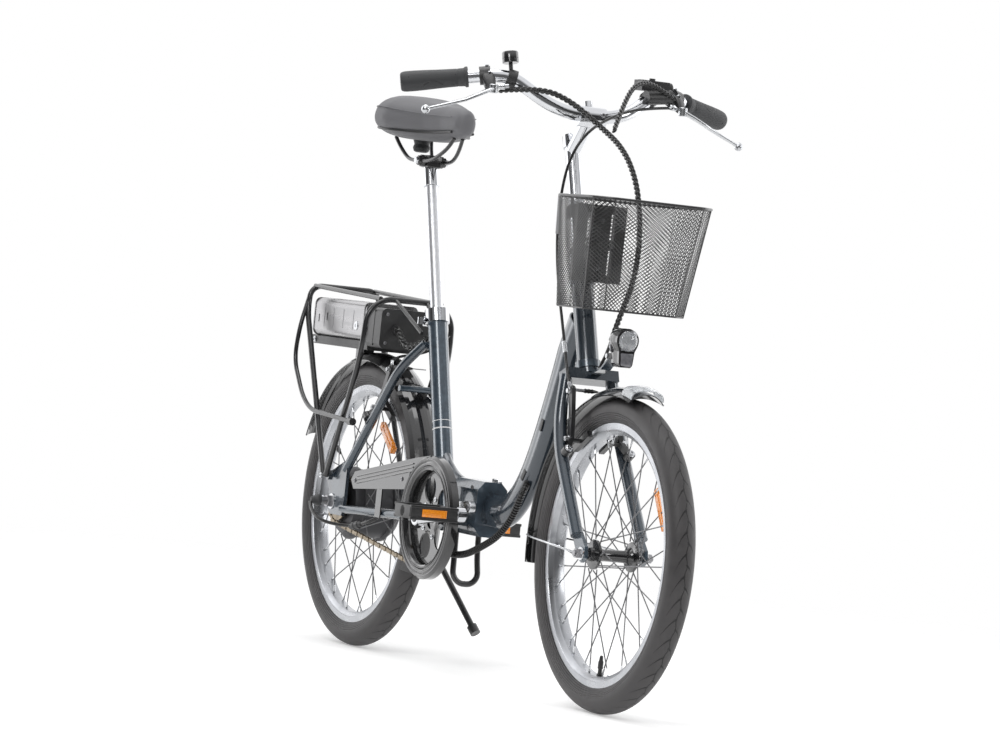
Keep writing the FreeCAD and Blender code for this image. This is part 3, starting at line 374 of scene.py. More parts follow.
PAINT = Finish("frame_paint_gloss", (0.020, 0.029, 0.040), (0.026, 0.037, 0.050), 0.30, 0.22, 0.28,
    coat=1.0, cloud_scale=9.0, relief_scale=1500.0, relief_strength=0.02, edge=(0.07, 0.10, 0.13))
GLOSS_BLACK = Finish("gloss_black", (0.008, 0.008, 0.009), (0.011, 0.011, 0.012), 0.0, 0.10, 0.16,
    coat=0.8, cloud_scale=12.0, relief_strength=0.01, edge=(0.03, 0.03, 0.03))
SATIN_BLACK = Finish("satin_black", (0.010, 0.010, 0.011), (0.015, 0.015, 0.016), 0.0, 0.26, 0.36,
    coat=0.35, relief_scale=1800.0, relief_strength=0.05, edge=(0.04, 0.04, 0.04))
PLASTIC = Finish("black_plastic_moulded", (0.013, 0.013, 0.014), (0.018, 0.018, 0.019), 0.0, 0.34, 0.44,
    relief_scale=2600.0, relief_strength=0.12, edge=(0.04, 0.04, 0.04))
CHROME = Finish("chrome_plate", (0.64, 0.65, 0.67), (0.56, 0.57, 0.59), 1.0, 0.05, 0.10, cloud_scale=30.0,
    relief_strength=0.008)
ALLOY = Finish("polished_alloy", (0.60, 0.61, 0.62), (0.50, 0.51, 0.53), 1.0, 0.20, 0.30, cloud_scale=40.0,
    relief_scale=1600.0, relief_strength=0.05)
RIM_ALLOY = Finish("rim_alloy", (0.46, 0.47, 0.49), (0.36, 0.37, 0.39), 1.0, 0.24, 0.34, cloud_scale=26.0,
    relief_scale=2200.0, relief_strength=0.08)
POST_ALLOY = Finish("post_satin", (0.70, 0.71, 0.73), (0.58, 0.59, 0.61), 1.0, 0.30, 0.42,
    cloud_scale=160.0, relief_scale=1400.0, relief_strength=0.35)
STEEL = Finish("dark_steel", (0.24, 0.24, 0.25), (0.34, 0.34, 0.35), 1.0, 0.30, 0.42, cloud_scale=60.0)
SPOKE_STEEL = Finish("spoke_steel", (0.12, 0.12, 0.125), (0.20, 0.20, 0.205), 1.0, 0.30, 0.40,
    cloud_scale=50.0)
TYRE_RUBBER = Finish("tyre_rubber", (0.024, 0.023, 0.024), (0.036, 0.034, 0.035), 0.0, 0.62, 0.78,
    cloud_scale=34.0, relief_scale=1500.0, relief_strength=0.18, edge=(0.075, 0.073, 0.07))
GRIP_RUBBER = Finish("grip_rubber", (0.024, 0.025, 0.027), (0.032, 0.033, 0.035), 0.0, 0.52, 0.64,
    relief=Relief.PEBBLE, relief_scale=1300.0, relief_strength=0.22)
CABLE_SKIN = Finish("cable_skin", (0.010, 0.010, 0.010), (0.016, 0.016, 0.016), 0.0, 0.20, 0.30,
    relief_strength=0.04)
LEATHERETTE = Finish("leatherette", (0.026, 0.026, 0.030), (0.036, 0.036, 0.041), 0.0, 0.44, 0.56,
    cloud_scale=14.0, relief=Relief.PEBBLE, relief_scale=850.0, relief_strength=0.30)
BRASS = Finish("brass_tone", (0.27, 0.22, 0.155), (0.19, 0.16, 0.12), 1.0, 0.34, 0.46, cloud_scale=70.0,
    relief_strength=0.10)
MOTOR_GREY = Finish("motor_grey", (0.035, 0.035, 0.038), (0.050, 0.050, 0.054), 0.5, 0.36, 0.46,
    cloud_scale=22.0, relief_scale=1300.0, relief_strength=0.12, edge=(0.12, 0.12, 0.12))
BATTERY_ALLOY = Finish("battery_alloy", (0.36, 0.355, 0.36), (0.28, 0.28, 0.285), 1.0, 0.24, 0.34,
    cloud_scale=60.0, stretch=(0.05, 1.0, 1.0), relief_scale=2600.0, relief_strength=0.10)
AMBER = Finish("amber_reflector", (0.90, 0.30, 0.014), (0.66, 0.19, 0.008), 0.0, 0.12, 0.20, coat=1.0,
    cloud_scale=400.0, relief=Relief.PEBBLE, relief_scale=420.0, relief_strength=0.7)
CLEAR_LENS = Finish("clear_lens", (0.93, 0.95, 0.97), (0.86, 0.89, 0.92), 0.0, 0.04, 0.08, coat=0.6,
    transmission=0.75, relief=Relief.PEBBLE, relief_scale=260.0, relief_strength=0.5)
LAMP_MIRROR = Finish("lamp_mirror", (0.40, 0.40, 0.42), (0.22, 0.22, 0.24), 1.0, 0.10, 0.22,
    relief=Relief.PEBBLE, relief_scale=380.0, relief_strength=0.6)
PRISM_GREY = Finish("prism_grey", (0.22, 0.22, 0.24), (0.12, 0.12, 0.13), 0.2, 0.12, 0.24, coat=0.9,
    cloud_scale=200.0, relief=Relief.PEBBLE, relief_scale=320.0, relief_strength=0.7)
GREY_PLASTIC = Finish("grey_plastic", (0.25, 0.25, 0.26), (0.32, 0.32, 0.33), 0.0, 0.35, 0.45)
WHITE_BAND = Finish("pale_band", (0.70, 0.70, 0.70), (0.60, 0.60, 0.61), 0.0, 0.30, 0.36)

CAD_FINISHES: dict[str, Finish] = {
    "seat_tube": PAINT, "bracket_shell": PAINT, "link_tube": PAINT, "chain_stays": PAINT,
    "seat_stays": PAINT, "rear_hinge": PAINT, "support_bar": SATIN_BLACK, "main_beam": PAINT,
    "head_tube": PAINT, "front_hinge": PAINT, "fork": PAINT, "rear_fender": GLOSS_BLACK,
    "front_fender": GLOSS_BLACK, "rack_hoops": SATIN_BLACK, "rack_rails": SATIN_BLACK,
    "chain_guard": GLOSS_BLACK, "chain": BRASS, "rear_cables": CABLE_SKIN,
    "conduit_rear": CABLE_SKIN, "conduit_front": CABLE_SKIN, "seat_collar": CHROME,
    "controller_box": PLASTIC, "battery_dock": PLASTIC, "rear_axle": STEEL,
    "seat_clamp_lever": CHROME, "seat_post": POST_ALLOY, "saddle": LEATHERETTE,
    "battery_case": BATTERY_ALLOY, "kickstand": SATIN_BLACK, "latch_lever": ALLOY,
    "stem": CHROME, "handlebar": CHROME, "grips": GRIP_RUBBER, "bar_fittings": PLASTIC,
    "basket": SATIN_BLACK, "basket_bracket": PLASTIC, "cable_bundle": CABLE_SKIN,
    "front_brake_cable": CABLE_SKIN, "front_axle": STEEL, "right_brake_lever": ALLOY,
    "left_brake_lever": ALLOY, "bell_dome": GLOSS_BLACK, "control_button": PLASTIC,
    "headlight": SATIN_BLACK, "front_brake_arm_right": SATIN_BLACK,
    "front_brake_arm_left": SATIN_BLACK, "rear_brake_arm_right": SATIN_BLACK,
    "rear_brake_arm_left": SATIN_BLACK, "front_tyre": TYRE_RUBBER, "rear_tyre": TYRE_RUBBER,
    "front_rim": RIM_ALLOY, "rear_rim": RIM_ALLOY, "front_spokes": SPOKE_STEEL,
    "rear_spokes": SPOKE_STEEL, "front_hub": SATIN_BLACK, "rear_motor": MOTOR_GREY,
    "freewheel": BRASS, "crankset": SATIN_BLACK, "right_pedal": PLASTIC, "left_pedal": PLASTIC,
}


def dress_cad_nodes() -> None:
    """Gives every CAD node the material of its finish."""
    for name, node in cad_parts.items():
        material = CAD_FINISHES[name].material()
        if not node.data.materials:
            node.data.materials.append(material)
        for number in range(len(node.data.materials)):
            node.data.materials[number] = material


@dataclass
class Studio:
    """Camera, soft light and a pale floor."""

    location: Point = (7.1305, -3.3824, 0.645)
    forward: Point = (-0.90326, 0.42874, -0.01744)
    roll: float = 0.1035
    lens_mm: float = 170.68
    sensor_mm: float = 36.0
    floor_size: float = 9.0
    floor_near: float = 1.3
    floor_far: float = 3.2

    def camera(self) -> None:
        """Places the camera."""
        forward = Vector(self.forward).normalized()
        flat_right = forward.cross(Vector((0, 0, 1))).normalized()
        flat_up = flat_right.cross(forward)
        cosine, sine = math.cos(self.roll), math.sin(self.roll)
        right = flat_right * cosine + flat_up * sine
        up = flat_up * cosine - flat_right * sine
        data = bpy.data.cameras.new("camera")
        data.lens, data.sensor_width = self.lens_mm, self.sensor_mm
        data.clip_start, data.clip_end = 0.05, 60.0
        camera = bpy.data.objects.new("camera", data)
        turn = Matrix((right, up, -forward)).transposed().to_4x4()
        camera.matrix_world = Matrix.Translation(self.location) @ turn
        bpy.context.scene.collection.objects.link(camera)
        bpy.context.scene.camera = camera

    def world(self) -> None:
        """Makes an even white surround that reflects darker towards the viewer."""
        world = bpy.data.worlds.new("studio")
        bpy.context.scene.world = world
        world.use_nodes = True
        world.node_tree.nodes.clear()
        g = Graph(world.node_tree)
        out = g.add("ShaderNodeOutputWorld")
        place = g.add("ShaderNodeTexCoord")
        side = g.add("ShaderNodeVectorMath", operation="DOT_PRODUCT")
        side.inputs[1].default_value = tuple(-value for value in self.forward)
        g.join(place, "Generated", side, 0)
        ramp = g.add("ShaderNodeValToRGB")
        stops = ((0.0, 1.0), (0.10, 1.7), (0.24, 1.6), (0.33, 4.4), (0.42, 1.1), (0.54, 0.16),
            (0.74, 0.04), (0.90, 0.07), (1.0, 0.20))
        elements = ramp.color_ramp.elements
        for number, (position, value) in enumerate(stops):
            element = elements[number] if number < 2 else elements.new(position)
            element.position, element.color = position, (value, value, value * 1.01, 1.0)
        span = g.add("ShaderNodeMapRange", {"From Min": -1.0, "From Max": 1.0})
        g.join(side, "Value", span, "Value")
        g.join(span, "Result", ramp, "Fac")
        height = g.add("ShaderNodeSeparateXYZ")
        g.join(place, "Generated", height, "Vector")
        above = g.add("ShaderNodeMapRange", {"From Min": 0.35, "From Max": 0.75})
        g.join(height, "Z", above, "Value")
        lifted = g.add("ShaderNodeMix", data_type="RGBA")
        lifted.inputs[7].default_value = (1.15, 1.15, 1.16, 1.0)
        g.join(above, "Result", lifted, "Factor")
        g.join(ramp, "Color", lifted, 6)
        path = g.add("ShaderNodeLightPath")
        mirror = g.add("ShaderNodeBackground", {"Strength": 1.0})
        g.join(lifted, 2, mirror, "Color")
        even = g.add("ShaderNodeBackground", {"Color": (1.0, 1.0, 1.0, 1.0), "Strength": 0.62})
        seen = g.add("ShaderNodeBackground", {"Color": (1.0, 1.0, 1.0, 1.0), "Strength": 1.0})
        mix = g.add("ShaderNodeMixShader")
        g.join(path, "Is Glossy Ray", mix, "Fac")
        g.join(even, "Background", mix, 1)
        g.join(mirror, "Background", mix, 2)
        direct = g.add("ShaderNodeMixShader")
        g.join(path, "Is Camera Ray", direct, "Fac")
        g.join(mix, "Shader", direct, 1)
        g.join(seen, "Background", direct, 2)
        g.join(direct, "Shader", out, "Surface")

    def lights(self) -> None:
        """Adds three soft area lights: key, fill and top."""
        places = (
            ("key", (2.6, -2.6, 2.6), 1.3, 42.0),
            ("fill", (2.8, 2.6, 1.8), 1.1, 22.0),
            ("top", (-0.4, -0.4, 3.2), 2.0, 34.0),
        )
        for name, place, size, power in places:
            data = bpy.data.lights.new(name, "AREA")
            data.shape, data.size, data.energy = "SQUARE", size, power
            light = bpy.data.objects.new(name, data)
            aim = Vector((0, 0, 0.5)) - Vector(place)
            turn = aim.to_track_quat("-Z", "Y").to_matrix().to_4x4()
            light.matrix_world = Matrix.Translation(place) @ turn
            bpy.context.scene.collection.objects.link(light)

    def floor(self) -> None:
        """Lays a pale floor that fades out round the bicycle."""
        mesh = bpy.data.meshes.new("floor")
        half = self.floor_size
        mesh.from_pydata(
            [(-half, -half, 0), (half, -half, 0), (half, half, 0), (-half, half, 0)], [], [(0, 1, 2, 3)]
        )
        floor = bpy.data.objects.new("floor", mesh)
        bpy.context.scene.collection.objects.link(floor)
        material = bpy.data.materials.new("pale_floor")
        material.use_nodes = True
        material.node_tree.nodes.clear()
        g = Graph(material.node_tree)
        out = g.add("ShaderNodeOutputMaterial")
        place = g.add("ShaderNodeTexCoord")
        length = g.add("ShaderNodeVectorMath", operation="LENGTH")
        g.join(place, "Object", length, 0)
        fade = g.add("ShaderNodeMapRange", {"From Min": self.floor_near, "From Max": self.floor_far})
        fade.interpolation_type = "SMOOTHSTEP"
        g.join(length, "Value", fade, "Value")
        matte = g.add("ShaderNodeBsdfDiffuse", {"Color": (0.92, 0.92, 0.92, 1.0)})
        lift = g.add("ShaderNodeEmission", {"Strength": 0.32})
        pale = g.add("ShaderNodeAddShader")
        g.join(matte, "BSDF", pale, 0)
        g.join(lift, "Emission", pale, 1)
        clear = g.add("ShaderNodeBsdfTransparent")
        mix = g.add("ShaderNodeMixShader")
        g.join(fade, "Result", mix, "Fac")
        g.join(pale, "Shader", mix, 1)
        g.join(clear, "BSDF", mix, 2)
        g.join(mix, "Shader", out, "Surface")
        mesh.materials.append(material)

    def build(self) -> None:
        """Sets up the camera, world, lights and floor."""
        self.camera()
        self.world()
        self.lights()
        self.floor()
        settings = bpy.context.scene.view_settings
        settings.view_transform = "Standard"
        settings.exposure = 0.0


Faces = list[tuple[int, ...]]


def link_object(name: str, mesh: bpy.types.Mesh) -> bpy.types.Object:
    """Adds a mesh to the scene as an object at the origin.

    Args:
        name: The piece's name.
        mesh: Its mesh.

    Returns:
        The object.
    """
    made = bpy.data.objects.new(name, mesh)
    bpy.context.scene.collection.objects.link(made)
    return made


def tidy_mesh(mesh: bpy.types.Mesh, angle: float = SHARP_ANGLE) -> None:
    """Merges doubles, turns the faces outward and shades smooth between sharp edges.

    Args:
        mesh: The mesh.
        angle: Edges that turn by more than this stay sharp.
    """
    work = bmesh.new()
    work.from_mesh(mesh)
    bmesh.ops.remove_doubles(work, verts=work.verts, dist=MERGE_DISTANCE)
    bmesh.ops.dissolve_degenerate(work, edges=work.edges, dist=MERGE_DISTANCE / 10)
    bmesh.ops.recalc_face_normals(work, faces=work.faces)
    work.to_mesh(mesh)
    work.free()
    mesh.shade_smooth()
    mesh.set_sharp_from_angle(angle=angle)


def make_piece(name: str, vertices: Sequence[Point], faces: Faces, finish: Finish,
        angle: float = SHARP_ANGLE) -> bpy.types.Object:
    """Makes a piece from vertices and faces.

    Args:
        name: The piece's name.
        vertices: Its vertices in metres.
        faces: Its faces.
        finish: Its finish.
        angle: Edges that turn by more than this stay sharp.

    Returns:
        The object.
    """
    mesh = bpy.data.meshes.new(name)
    mesh.from_pydata([tuple(v) for v in vertices], [], faces)
    mesh.materials.append(finish.material())
    tidy_mesh(mesh, angle)
    return link_object(name, mesh)


def ring_faces(rings: int, around: int, looped: bool = False, capped: bool = True) -> Faces:
    """Faces that join equal rings of vertices.

    Args:
        rings: How many rings.
        around: Vertices in each ring.
        looped: Whether the last ring joins the first.
        capped: Whether the two end rings are closed.

    Returns:
        The faces.
    """
    faces: Faces = []
    for ring in range(rings if looped else rings - 1):
        after = (ring + 1) % rings
        for step in range(around):
            ahead = (step + 1) % around
            faces.append((ring * around + step, ring * around + ahead, after * around + ahead,
                after * around + step))
    if capped and not looped:
        faces.append(tuple(range(around)))
        faces.append(tuple((rings - 1) * around + step for step in reversed(range(around))))
    return faces


def basis_along(direction: Vector) -> Matrix:
    """A turn that takes Z to a direction.

    Args:
        direction: The direction.

    Returns:
        The 3 by 3 turn.
    """
    return direction.normalized().to_track_quat("Z", "Y").to_matrix()


def turned_piece(name: str, start: Vector, end: Vector, profile: Sequence[tuple[float, float]],
        finish: Finish, sides: int = 40, angle: float = SHARP_ANGLE) -> bpy.types.Object:
    """Turns a profile round the line from start to end.

    Args:
        name: The piece's name.
        start: Where distance is 0.
        end: Where distance is the line's length.
        profile: Distance along the line and radius, both in mm.
        finish: Its finish.
        sides: Vertices round the line.
        angle: Edges that turn by more than this stay sharp.

    Returns:
        The object.
    """
    turn = basis_along(end - start)
    vertices = []
    for distance, radius in profile:
        for step in range(sides):
            turned = 2 * math.pi * step / sides
            local = Vector((math.cos(turned) * radius, math.sin(turned) * radius, distance)) * MM
            vertices.append(start + turn @ local)
    return make_piece(name, vertices, ring_faces(len(profile), sides), finish, angle)


def wheel_piece(name: str, centre: Vector, profile: Sequence[tuple[float, float]], finish: Finish,
        steps: int = 144, angle: float = SHARP_ANGLE) -> bpy.types.Object:
    """Turns a closed profile round the cross axis through a centre.

    Args:
        name: The piece's name.
        centre: A point on the axis.
        profile: Radius and sideways distance of each corner, both in mm.
        finish: Its finish.
        steps: Sections round the axis.
        angle: Edges that turn by more than this stay sharp.

    Returns:
        The object.
    """
    vertices = []
    for step in range(steps):
        turned = 2 * math.pi * step / steps
        for radius, side in profile:
            vertices.append(centre + mm(math.cos(turned) * radius, side, math.sin(turned) * radius))
    faces = ring_faces(steps, len(profile), looped=True, capped=False)
    return make_piece(name, vertices, faces, finish, angle)


def block_piece(name: str, low: Vector, high: Vector, finish: Finish, bevel: float = 1.0,
        turn: Matrix | None = None) -> bpy.types.Object:
    """A block with rounded edges.

    Args:
        name: The piece's name.
        low: Its lowest corner.
        high: Its highest corner.
        finish: Its finish.
        bevel: Edge radius in mm.
        turn: A turn about its middle.

    Returns:
        The object.
    """
    middle, half = (low + high) / 2, (high - low) / 2
    mesh = bpy.data.meshes.new(name)
    work = bmesh.new()
    bmesh.ops.create_cube(work, size=2.0)
    for vertex in work.verts:
        vertex.co = Vector(a * b for a, b in zip(vertex.co, half))
    if bevel > 0:
        bmesh.ops.bevel(work, geom=list(work.edges), offset=bevel * MM, segments=3, profile=0.5,
            affect="EDGES")
    for vertex in work.verts:
        vertex.co = middle + (turn @ vertex.co if turn is not None else vertex.co)
    work.to_mesh(mesh)
    work.free()
    mesh.materials.append(finish.material())
    tidy_mesh(mesh)
    return link_object(name, mesh)


def outline_piece(name: str, outline: Sequence[tuple[float, float]], low: float, high: float,
        finish: Finish, axis: int = 1, bevel: float = 0.6) -> bpy.types.Object:
    """A flat plate cut to an outline and rounded a little.

    Args:
        name: The piece's name.
        outline: Corners in mm in the two axes other than the plate's own, in axis order.
        low: The plate's lower face in mm.
        high: The plate's upper face in mm.
        finish: Its finish.
        axis: The axis across the plate.
        bevel: Edge radius in mm.

    Returns:
        The object.
    """
    mesh = bpy.data.meshes.new(name)
    work = bmesh.new()
    others = [number for number in range(3) if number != axis]
    corners = []
    for first, second in outline:
        place = [0.0, 0.0, 0.0]
        place[others[0]], place[others[1]], place[axis] = first, second, low
        corners.append(work.verts.new(mm(*place)))
    face = work.faces.new(corners)
    lifted = bmesh.ops.extrude_face_region(work, geom=[face])
    shift = [0.0, 0.0, 0.0]
    shift[axis] = high - low
    moved = [item for item in lifted["geom"] if isinstance(item, bmesh.types.BMVert)]
    bmesh.ops.translate(work, verts=moved, vec=mm(*shift))
    if bevel > 0:
        bmesh.ops.bevel(work, geom=list(work.edges), offset=bevel * MM, segments=2, profile=0.5,
            affect="EDGES")
    bmesh.ops.triangulate(work, faces=[f for f in work.faces if len(f.verts) > 4])
    work.to_mesh(mesh)
    work.free()
    mesh.materials.append(finish.material())
    tidy_mesh(mesh)
    return link_object(name, mesh)


def route_curve(name: str, points: Sequence[Vector], radius: float = 0.0, looped: bool = False,
        order: int = 3, sides: int = 5) -> bpy.types.Object:
    """A NURBS curve that follows a route.

    Args:
        name: The curve's name.
        points: The route's control points.
        radius: Tube radius in mm, or 0 for a bare line.
        looped: Whether it closes on itself.
        order: The spline's order.
        sides: The tube's bevel resolution.

    Returns:
        The curve object.
    """
    data = bpy.data.curves.new(name, "CURVE")
    data.dimensions = "3D"
    data.resolution_u = 10
    spline = data.splines.new("NURBS")
    spline.points.add(len(points) - 1)
    for target, point in zip(spline.points, points):
        target.co = (*point, 1.0)
    spline.order_u = order
    spline.use_endpoint_u = not looped
    spline.use_cyclic_u = looped
    if radius > 0:
        data.bevel_depth = radius * MM
        data.bevel_resolution = sides
        data.use_fill_caps = not looped
    made = bpy.data.objects.new(name, data)
    bpy.context.scene.collection.objects.link(made)
    return made


def baked(name: str, source: bpy.types.Object) -> bpy.types.Object:
    """Turns an object with its modifiers into one plain mesh and removes the source.

    Args:
        name: The new piece's name.
        source: The curve or mesh object.

    Returns:
        The mesh object.
    """
    bpy.context.view_layer.update()
    evaluated = source.evaluated_get(bpy.context.evaluated_depsgraph_get())
    mesh = bpy.data.meshes.new_from_object(evaluated)
    bpy.data.objects.remove(source)
    mesh.name = name
    return link_object(name, mesh)


def route_tube(name: str, points: Sequence[Vector], radius: float, finish: Finish, looped: bool = False,
        order: int = 3) -> bpy.types.Object:
    """A round tube along a route.

    Args:
        name: The piece's name.
        points: The route's control points.
        radius: The tube's radius in mm.
        finish: Its finish.
        looped: Whether it closes on itself.
        order: The spline's order.

    Returns:
        The mesh object.
    """
    curve = route_curve(name + "_route", points, radius, looped, order)
    made = baked(name, curve)
    made.data.materials.clear()
    made.data.materials.append(finish.material())
    tidy_mesh(made.data, SOFT_ANGLE)
    return made


def join_pieces(name: str, pieces: Sequence[bpy.types.Object]) -> bpy.types.Object:
    """Joins several pieces into one that keeps their materials.

    Args:
        name: The joined piece's name.
        pieces: The pieces, which are removed.

    Returns:
        The joined object.
    """
    target = pieces[0]
    with bpy.context.temp_override(active_object=target, selected_editable_objects=list(pieces)):
        bpy.ops.object.join()
    target.name = name
    target.data.name = name
    return target


class Tools:
    """The geometry node trees that repeat shapes, each made on first use."""

    def __init__(self) -> None:
        """Starts with no trees."""
        self.trees: dict[str, bpy.types.NodeTree] = {}

    def _finished(self, g: Graph, start: bpy.types.Node, source: bpy.types.NodeSocket) -> None:
        """Ends a tree in Realize Instances and Set Material.

        Args:
            g: The tree's graph.
            start: Its input node.
            source: The geometry to finish.
        """
        real = g.add("GeometryNodeRealizeInstances")
        painted = g.add("GeometryNodeSetMaterial")
        end = g.add("NodeGroupOutput")
        g.link(source, real.inputs["Geometry"])
        g.join(real, "Geometry", painted, "Geometry")
        g.join(start, "Material", painted, "Material")
        g.join(painted, "Geometry", end, "Geometry")

    def edge_tubes(self) -> bpy.types.NodeTree:
        """A tree that makes every edge a thin round bar.

        Returns:
            The tree.
        """
        if "edge_tubes" not in self.trees:
            tree = new_group("edge_tubes", "GeometryNodeTree", [
                ("Geometry", "IN", "NodeSocketGeometry", None),
                ("Radius", "IN", "NodeSocketFloat", 0.001),
                ("Sides", "IN", "NodeSocketInt", 6),
                ("Material", "IN", "NodeSocketMaterial", None),
                ("Geometry", "OUT", "NodeSocketGeometry", None),
            ])
            g = Graph(tree)
            start = g.add("NodeGroupInput")
            line = g.add("GeometryNodeMeshToCurve")
            ring = g.add("GeometryNodeCurvePrimitiveCircle")
            bar = g.add("GeometryNodeCurveToMesh", {"Fill Caps": True})
            smooth = g.add("GeometryNodeSetShadeSmooth")
            g.join(start, "Geometry", line, "Mesh")
            g.join(start, "Radius", ring, "Radius")
            g.join(start, "Sides", ring, "Resolution")
            g.join(line, "Curve", bar, "Curve")
            g.join(ring, "Curve", bar, "Profile Curve")
            g.join(bar, "Mesh", smooth, "Geometry")
            self._finished(g, start, smooth.outputs["Geometry"])
            self.trees["edge_tubes"] = tree
        return self.trees["edge_tubes"]

    def stamps(self) -> bpy.types.NodeTree:
        """A tree that puts a shape on every point, by its turn and grow attributes.

        Returns:
            The tree.
        """
        if "stamps" not in self.trees:
            tree = new_group("stamps", "GeometryNodeTree", [
                ("Geometry", "IN", "NodeSocketGeometry", None),
                ("Stamp", "IN", "NodeSocketObject", None),
                ("Material", "IN", "NodeSocketMaterial", None),
                ("Geometry", "OUT", "NodeSocketGeometry", None),
            ])
            g = Graph(tree)
            start = g.add("NodeGroupInput")
            shape = g.add("GeometryNodeObjectInfo", transform_space="ORIGINAL")
            turn = g.add("GeometryNodeInputNamedAttribute", {"Name": "turn"}, data_type="FLOAT_VECTOR")
            grow = g.add("GeometryNodeInputNamedAttribute", {"Name": "grow"}, data_type="FLOAT")
            euler = g.add("FunctionNodeEulerToRotation")
            put = g.add("GeometryNodeInstanceOnPoints")
            g.join(start, "Stamp", shape, "Object")
            g.join(start, "Geometry", put, "Points")
            g.join(shape, "Geometry", put, "Instance")
            g.join(turn, "Attribute", euler, "Euler")
            g.join(euler, "Rotation", put, "Rotation")
            g.join(grow, "Attribute", put, "Scale")
            self._finished(g, start, put.outputs["Instances"])
            self.trees["stamps"] = tree
        return self.trees["stamps"]

    def path_stamps(self) -> bpy.types.NodeTree:
        """A tree that strings a shape along a curve at even steps, turning it a little each time.

        Returns:
            The tree.
        """
        if "path_stamps" not in self.trees:
            tree = new_group("path_stamps", "GeometryNodeTree", [
                ("Geometry", "IN", "NodeSocketGeometry", None),
                ("Stamp", "IN", "NodeSocketObject", None),
                ("Step", "IN", "NodeSocketFloat", 0.004),
                ("Spin", "IN", "NodeSocketFloat", 0.0),
                ("Material", "IN", "NodeSocketMaterial", None),
                ("Geometry", "OUT", "NodeSocketGeometry", None),
            ])
            g = Graph(tree)
            start = g.add("NodeGroupInput")
            shape = g.add("GeometryNodeObjectInfo", transform_space="ORIGINAL")
            even = g.add("GeometryNodeResampleCurve", mode="LENGTH")
            along = g.add("GeometryNodeInputTangent")
            across = g.add("GeometryNodeInputNormal")
            facing = g.add("FunctionNodeAxesToRotation", primary_axis="Z", secondary_axis="X")
            number = g.add("GeometryNodeInputIndex")
            angle = g.add("ShaderNodeMath", operation="MULTIPLY")
            spin = g.add("FunctionNodeAxisAngleToRotation", {"Axis": (0.0, 0.0, 1.0)})
            whole = g.add("FunctionNodeRotateRotation", rotation_space="LOCAL")
            put = g.add("GeometryNodeInstanceOnPoints")
            g.join(start, "Geometry", even, "Curve")
            g.join(start, "Step", even, "Length")
            g.join(start, "Stamp", shape, "Object")
            g.join(along, "Tangent", facing, "Primary Axis")
            g.join(across, "Normal", facing, "Secondary Axis")
            g.join(number, "Index", angle, 0)
            g.join(start, "Spin", angle, 1)
            g.join(angle, "Value", spin, "Angle")
            g.join(facing, "Rotation", whole, "Rotation")
            g.join(spin, "Rotation", whole, "Rotate By")
            g.join(even, "Curve", put, "Points")
            g.join(shape, "Geometry", put, "Instance")
            g.join(whole, "Rotation", put, "Rotation")
            self._finished(g, start, put.outputs["Instances"])
            self.trees["path_stamps"] = tree
        return self.trees["path_stamps"]

    def grown(self, name: str, base: bpy.types.Object, tree: bpy.types.NodeTree, finish: Finish,
            **values: object) -> bpy.types.Object:
        """Runs a tree on a base object and keeps the result as one mesh.

        Args:
            name: The new piece's name.
            base: The object that carries the points, edges or curve.
            tree: The geometry node tree.
            finish: The finish given to its Material input.
            values: Its other inputs by socket name.

        Returns:
            The mesh object.
        """
        modifier = base.modifiers.new("grow", "NODES")
        modifier.node_group = tree
        given = {**values, "Material": finish.material()}
        for item in tree.interface.items_tree:
            if item.in_out == "INPUT" and item.name in given:
                modifier[item.identifier] = given[item.name]
        made = baked(name, base)
        made.data.shade_smooth()
        made.data.set_sharp_from_angle(angle=SHARP_ANGLE)
        return made

    def bars(self, name: str, edges: Sequence[tuple[Vector, Vector]], radius: float, finish: Finish,
            sides: int = 6) -> bpy.types.Object:
        """Round bars between pairs of points.

        Args:
            name: The piece's name.
            edges: The two ends of each bar.
            radius: The bars' radius in mm.
            finish: Their finish.
            sides: Sides of each bar.

        Returns:
            The mesh object.
        """
        mesh = bpy.data.meshes.new(name + "_edges")
        points = [tuple(point) for pair in edges for point in pair]
        mesh.from_pydata(points, [(2 * i, 2 * i + 1) for i in range(len(edges))], [])
        base = link_object(name + "_edges", mesh)
        return self.grown(name, base, self.edge_tubes(), finish, Radius=radius * MM, Sides=sides)

    def stamped(self, name: str, stamp: bpy.types.Object, places: Sequence[Vector],
            turns: Sequence[Matrix], finish: Finish,
            sizes: Sequence[float] | None = None) -> bpy.types.Object:
        """Copies of a small shape at given places.

        Args:
            name: The piece's name.
            stamp: The small shape round the origin, removed afterwards.
            places: Where each copy goes.
            turns: The 3 by 3 turn of each copy.
            finish: Their finish.
            sizes: The scale of each copy.

        Returns:
            The mesh object.
        """
        mesh = bpy.data.meshes.new(name + "_points")
        mesh.from_pydata([tuple(place) for place in places], [], [])
        mesh.attributes.new("turn", "FLOAT_VECTOR", "POINT")
        mesh.attributes.new("grow", "FLOAT", "POINT")
        eulers = [value for matrix in turns for value in matrix.to_euler("XYZ")]
        mesh.attributes["turn"].data.foreach_set("vector", eulers)
        mesh.attributes["grow"].data.foreach_set("value", list(sizes or [1.0] * len(places)))
        base = link_object(name + "_points", mesh)
        made = self.grown(name, base, self.stamps(), finish, Stamp=stamp)
        bpy.data.objects.remove(stamp)
        return made

